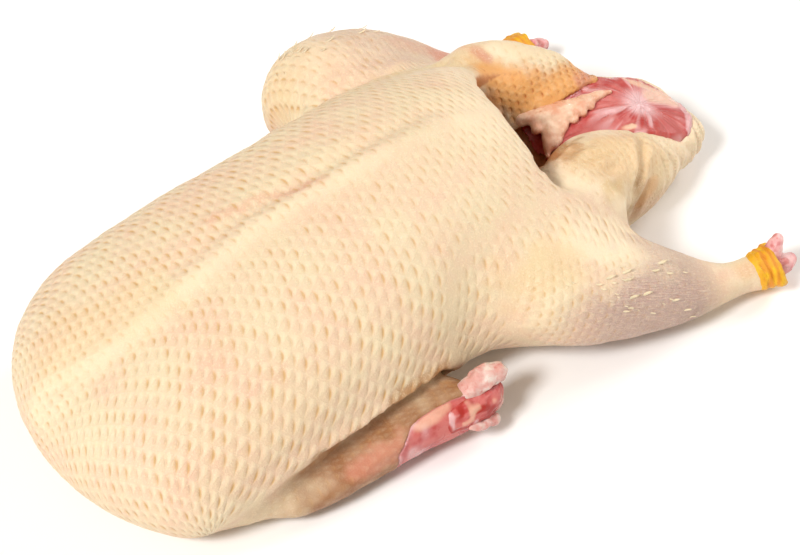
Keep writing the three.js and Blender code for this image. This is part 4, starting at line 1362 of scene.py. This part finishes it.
def flake_tree():
    """Geometry nodes that strew small curled flakes over a surface, thickest where its flakes mask is."""
    tree, build, takes, gives = group_of(
        "skin flakes", "GeometryNodeTree",
        [("Geometry", "Geometry", None), ("Density", "Float", 20000.0), ("Length", "Float", 0.003),
         ("Seed", "Int", FLAKE_SEED), ("Material", "Material", None)], [("Geometry", "Geometry")])
    mask = build.add("GeometryNodeInputNamedAttribute", {"Name": "flakes"}, data_type="FLOAT")
    strewn = build.add("GeometryNodeDistributePointsOnFaces",
                       {"Mesh": takes["Geometry"], "Density": build.times(mask, takes["Density"]),
                        "Seed": takes["Seed"]}).outputs
    slab = build.add("GeometryNodeMeshCube", {"Size": (1.0, 0.36, 0.06), "Vertices X": 5, "Vertices Y": 3,
                                              "Vertices Z": 2})
    x, y, z = build.add("ShaderNodeSeparateXYZ", {0: build.add("GeometryNodeInputPosition")}).outputs
    square = build.times(x, x)
    taper = build.minus(1.0, build.times(square, 3.0))
    curl = build.plus(build.times(build.plus(x, 0.25), 0.5), build.times(square, 0.5))
    bent = build.add("ShaderNodeCombineXYZ", {0: x, 1: build.times(y, taper), 2: build.plus(z, curl)})
    flake = build.add("GeometryNodeSetPosition", {"Geometry": slab, "Position": bent})
    upright = build.add("FunctionNodeAlignRotationToVector",
                        {"Rotation": strewn["Rotation"], "Vector": (0.8, -0.6, 0.0)},
                        axis="X", pivot_axis="Z")

    def chance(low, high):
        return build.add("FunctionNodeRandomValue", {2: low, 3: high, "Seed": takes["Seed"]},
                         data_type="FLOAT").outputs[1]

    spin = build.add("ShaderNodeCombineXYZ", {2: chance(-0.55, 0.55)})
    turned = build.add("FunctionNodeRotateRotation", {"Rotation": upright, "Rotate By": spin},
                       rotation_space="LOCAL")
    placed = build.add("GeometryNodeInstanceOnPoints",
                       {"Points": strewn["Points"], "Instance": flake, "Rotation": turned,
                        "Scale": build.times(chance(0.4, 1.7), takes["Length"])})
    real = build.add("GeometryNodeRealizeInstances", {"Geometry": placed})
    coated = build.add("GeometryNodeSetMaterial", {"Geometry": real, "Material": takes["Material"]})
    build.fill(gives, {"Geometry": coated})
    return tree


FLAKE_LINES = {"right": [(212, -80, 50), (232, -86, 46), (252, -90, 38), (262, -92, 30)],
               "left": [(196, 92, 66), (214, 96, 68), (228, 92, 66)]}


def build_flakes(side, sizes, colours):
    """Loose flakes, strewn over a copy of the skin round a line on the drumstick."""
    mesh = bpy.data.objects["skin"].data.copy()
    points = mesh_points(mesh)
    gap = gap_to(points, FLAKE_LINES[side])
    clumps = 0.35 + 0.65 * smoothstep(-0.1, 0.6, noise(points, 9.0, 98))
    set_mask(mesh, "flakes", smoothstep(17.0, 5.0, gap) * clumps)
    piece = new_object(side + "_skin_flakes", mesh)
    material = soft_material("dry flake", colours.flake, colours.skin, colours.skin_warm,
                             rough=0.6, patches=120.0, blush_share=0.0)
    modifier = piece.modifiers.new("flakes", "NODES")
    modifier.node_group = flake_tree()
    for socket, value in (("Density", sizes.flake_density), ("Length", sizes.flake_length),
                          ("Seed", FLAKE_SEED), ("Material", material)):
        modifier[modifier.node_group.interface.items_tree[socket].identifier] = value
    baked(piece)
    return ready(piece, material)


# ---------------------------------------------------------------- settings and operators

def colour_of(name, text, value):
    """A colour that a user can change."""
    return bpy.props.FloatVectorProperty(name=name, description=text, default=value, subtype="COLOR",
                                         min=0.0, max=1.0)


class DuckSizes(bpy.types.PropertyGroup):
    grain: bpy.props.FloatProperty(
        name="Skin grain", description="Side of the skin's faces where it shows", default=0.00135,
        unit="LENGTH", precision=5)
    follicle_depth: bpy.props.FloatProperty(
        name="Follicle depth", description="Depth of the dimple at each feather follicle", default=0.0003,
        unit="LENGTH", precision=5)
    flake_density: bpy.props.FloatProperty(
        name="Flakes", description="Loose flakes of skin on each square metre of the drumsticks",
        default=30000.0)
    flake_length: bpy.props.FloatProperty(
        name="Flake length", description="Mean length of a loose flake of skin", default=0.0025,
        unit="LENGTH", precision=5)


class DuckColours(bpy.types.PropertyGroup):
    skin: colour_of("Skin", "Pale cream skin", (0.72, 0.59, 0.39))
    skin_warm: colour_of("Warm skin", "Skin in its pinker patches", (0.73, 0.52, 0.36))
    # Lighter colour on the puffed cells, partly lighter skin and partly painted highlight.
    ridge_highlight: colour_of("Ridge", "Pale yellow skin between the follicles", (0.84, 0.72, 0.49))
    # Darker colour in the follicle dimples, partly the skin's own golden colour and partly painted shade.
    pit_tan_and_shade: colour_of("Follicle", "Tan at the bottom of a follicle", (0.60, 0.36, 0.145))
    # Lighter cream, mostly painted light and painted highlight; along the keel and on the wings it is lighter
    # skin.
    pale_and_lit: colour_of("Pale skin", "Cream skin over thick fat", (0.86, 0.71, 0.49))
    # Painted shade: the dark colour put in the creases beside the wings and in the folds and under the lips
    # at the vent.
    brown_shade: colour_of("Brown skin", "Wet brown skin at the vent's corner", (0.36, 0.17, 0.06))
    gold: colour_of("Yellow fat", "Skin over yellow fat", (0.72, 0.53, 0.27))
    lilac: colour_of("Drumstick", "Thin skin over dark meat", (0.55, 0.37, 0.31))
    streak: colour_of("Drumstick streaks", "Drier skin along the drumstick", (0.72, 0.56, 0.45))
    olive: colour_of("Wing skin", "Thin skin of the wing", (0.30, 0.13, 0.05))
    amber: colour_of("Vent skin", "Orange skin by the vent", (0.74, 0.36, 0.11))
    # Darker colour in the dimples by the vent, partly orange skin and partly painted shade.
    amber_pit_and_shade: colour_of("Vent follicle", "Follicles by the vent", (0.52, 0.17, 0.03))
    blush: colour_of("Blush", "Pink stains on the skin", (0.62, 0.23, 0.15))
    cavity: colour_of("Cavity", "Dark lining of the drawn belly", (0.42, 0.14, 0.035))
    cavity_light: colour_of("Cavity, light", "Browner lining of the drawn belly", (0.58, 0.24, 0.08))
    flesh: colour_of("Flesh", "Raw red muscle", (0.46, 0.055, 0.05))
    flesh_light: colour_of("Light flesh", "Paler fibres of the muscle", (0.58, 0.16, 0.14))
    # Darkest red muscle; in the gap under the far fold and under the fat at the vent it is painted shade.
    deep_flesh_and_shade: colour_of("Deep flesh", "Darkest muscle in the folds", (0.36, 0.02, 0.012))
    membrane: colour_of("Membrane", "White and lilac film over the muscle", (0.74, 0.50, 0.50))
    fat: colour_of("Fat", "Soft cream fat", (0.84, 0.58, 0.40))
    fat_dark: colour_of("Pink fat", "Pinker fat", (0.72, 0.36, 0.22))
    # Painted shade along the lower edge of the fat's frill, and darker colour on the tongue that hangs below
    # it.
    fat_stain_and_shade: colour_of("Fat stain", "Orange brown stain in the fat", (0.55, 0.17, 0.06))
    cuff: colour_of("Cuff", "Orange yellow skin at the hock", (0.78, 0.37, 0.004))
    cuff_light: colour_of("Cuff, light", "Yellower skin at the hock", (0.84, 0.49, 0.006))
    cuff_fold: colour_of("Cuff folds", "Orange at the bottom of the hock's folds", (0.70, 0.22, 0.004))
    bone: colour_of("Bone end", "Pink white end of a shank bone", (0.82, 0.50, 0.48))
    bone_dark: colour_of("Bone end, pink", "Pinker end of a shank bone", (0.66, 0.22, 0.23))
    gristle: colour_of("Gristle", "White gristle at the wing's elbow", (0.74, 0.63, 0.56))
    gristle_dark: colour_of("Gristle, pink", "Pinker gristle", (0.66, 0.34, 0.29))
    flake: colour_of("Flake", "Dry flake of skin", (0.86, 0.70, 0.47))


def settings():
    """The sizes and the colours that hold in this scene."""
    return bpy.context.scene.duck_sizes, bpy.context.scene.duck_colours


class DUCK_OT_stage(bpy.types.Operator):
    """Sets the camera, the floor and the lights"""
    bl_idname = "duck.stage"
    bl_label = "Stage"

    def execute(self, context):
        build_stage()
        return {"FINISHED"}


class DUCK_OT_skin(bpy.types.Operator):
    """Makes the skin with its follicles and folds, in place of the carcass"""
    bl_idname = "duck.skin"
    bl_label = "Skin"

    def execute(self, context):
        build_skin(*settings())
        return {"FINISHED"}


class DUCK_OT_rump_flesh(bpy.types.Operator):
    """Makes the bare flesh inside the vent"""
    bl_idname = "duck.rump_flesh"
    bl_label = "Vent Flesh"

    def execute(self, context):
        build_rump_flesh(settings()[1])
        return {"FINISHED"}


class DUCK_OT_vent_fat(bpy.types.Operator):
    """Makes the soft fat that hangs in the vent"""
    bl_idname = "duck.vent_fat"
    bl_label = "Vent Fat"

    def execute(self, context):
        build_vent_fat(settings()[1])
        return {"FINISHED"}


class DUCK_OT_hocks(bpy.types.Operator):
    """Makes the rolled cuffs at the hocks and the shank bones in them"""
    bl_idname = "duck.hocks"
    bl_label = "Hocks"

    def execute(self, context):
        colours = settings()[1]
        for side, seed, stretch, rise in HOCKS:
            limb = LOBES[side + "_leg"]
            build_cuff(side + "_cuff", limb, seed, stretch, colours)
            x, y, z = limb[-1][:3]
            knobs = [[[x + dx, y - SIDES[side] * dy, z + rise * dz, wide * KNOB_SIZE, high * KNOB_SIZE]
                      for dx, dy, dz, wide, high in knob] for knob in SHANK_KNOBS]
            build_bone(side + "_shank_bone", limb, knobs, SHANK_RADIUS, colours)
        return {"FINISHED"}


class DUCK_OT_wings(bpy.types.Operator):
    """Makes the meat and the gristle at the cut ends of the wings"""
    bl_idname = "duck.wings"
    bl_label = "Wing Ends"

    def execute(self, context):
        colours = settings()[1]
        for side, sign in SIDES.items():
            build_wing_meat(side, colours)
            build_wing_end(side, colours)
            knobs = on_side(WING_GRISTLE, sign)
            build_bone(side + "_wing_bone", LOBES[side + "_wing"], knobs, WING_BONE_RADIUS, colours)
        return {"FINISHED"}


class DUCK_OT_flakes(bpy.types.Operator):
    """Strews loose flakes of skin over the drumsticks"""
    bl_idname = "duck.flakes"
    bl_label = "Skin Flakes"

    def execute(self, context):
        for side in FLAKE_LINES:
            build_flakes(side, *settings())
        return {"FINISHED"}


# The camera: the point it looks at in metres, its turn and rise, how far off it is, its lens and its film.
VIEW_TARGET = Vector((-0.00767, -0.02509, 0.03983))
VIEW_TURN = math.radians(-37.0)
VIEW_RISE = math.radians(47.0)
VIEW_REACH = 0.9735
LENS = 104.94
SENSOR = 36.0
CLIP = (0.01, 20.0)
TABLE_HALF = 3.0
TABLE_DROP = 0.0002
TABLE_WHITE = (0.95, 0.945, 0.935, 1.0)
WORLD_LIGHT = 0.46
WORLD_TINT = (1.0, 0.90, 0.81, 1.0)
# Each light's name, place in metres, size in metres, power in watts and colour.
LIGHTS = [
    ("softbox", (-2.1, -0.56, 2.3), 0.7, 86.0, (1.0, 1.0, 1.0)),
    ("far softbox", (2.1, -0.1, 1.5), 1.2, 34.0, (1.0, 1.0, 1.0)),
]


def build_stage():
    """The camera, a white table, two soft lights and an even white room."""
    scene = bpy.context.scene
    camera = bpy.data.objects.new("camera", bpy.data.cameras.new("camera"))
    scene.collection.objects.link(camera)
    level = math.cos(VIEW_RISE)
    back = Vector((math.sin(VIEW_TURN) * level, -math.cos(VIEW_TURN) * level, math.sin(VIEW_RISE)))
    camera.location = VIEW_TARGET + back * VIEW_REACH
    camera.rotation_euler = back.to_track_quat("Z", "Y").to_euler()
    camera.data.lens = LENS
    camera.data.sensor_width = SENSOR
    camera.data.clip_start, camera.data.clip_end = CLIP
    scene.camera = camera

    floor_mesh = bpy.data.meshes.new("floor")
    corners = [(x * TABLE_HALF, y * TABLE_HALF, -TABLE_DROP) for x, y in ((-1, -1), (1, -1), (1, 1), (-1, 1))]
    floor_mesh.from_pydata(corners, [], [(0, 1, 2, 3)])
    floor = new_object("floor", floor_mesh)
    material, build, surface = new_material("white table")
    build.fill(surface, {"Base Color": TABLE_WHITE, "Roughness": 0.6})
    floor.data.materials.append(material)

    for name, place, size, power, tint in LIGHTS:
        light = bpy.data.lights.new(name, "AREA")
        light.shape = "SQUARE"
        light.size = size
        light.energy = power
        light.color = tint
        lamp = bpy.data.objects.new(name, light)
        scene.collection.objects.link(lamp)
        lamp.location = place
        lamp.rotation_euler = (Vector(place) - VIEW_TARGET).to_track_quat("Z", "Y").to_euler()

    world = bpy.data.worlds.new("white room")
    world.use_nodes = True
    glow = world.node_tree.nodes["Background"].inputs
    Tree(world.node_tree).fill(glow, {"Color": WORLD_TINT, "Strength": WORLD_LIGHT})
    scene.world = world
    scene.view_settings.view_transform = "Standard"


class DUCK_PT_panel(bpy.types.Panel):
    bl_label = "Raw Duck"
    bl_idname = "DUCK_PT_panel"
    bl_space_type = "VIEW_3D"
    bl_region_type = "UI"
    bl_category = "Duck"

    def draw(self, context):
        for group in (context.scene.duck_sizes, context.scene.duck_colours):
            box = self.layout.box()
            for name in group.__annotations__:
                box.prop(group, name)
        for operator in OPERATORS:
            self.layout.operator(operator.bl_idname)


OPERATORS = (DUCK_OT_stage, DUCK_OT_skin, DUCK_OT_rump_flesh, DUCK_OT_vent_fat, DUCK_OT_hocks, DUCK_OT_wings,
             DUCK_OT_flakes)
CLASSES = (DuckSizes, DuckColours) + OPERATORS + (DUCK_PT_panel,)


def register():
    for kind in CLASSES:
        bpy.utils.register_class(kind)
    bpy.types.Scene.duck_sizes = bpy.props.PointerProperty(type=DuckSizes)
    bpy.types.Scene.duck_colours = bpy.props.PointerProperty(type=DuckColours)


def unregister():
    del bpy.types.Scene.duck_sizes
    del bpy.types.Scene.duck_colours
    for kind in reversed(CLASSES):
        bpy.utils.unregister_class(kind)


def main():
    register()
    for operator in OPERATORS:
        section, name = operator.bl_idname.split(".")
        getattr(getattr(bpy.ops, section), name)()


if __name__ == "__main__":
    main()
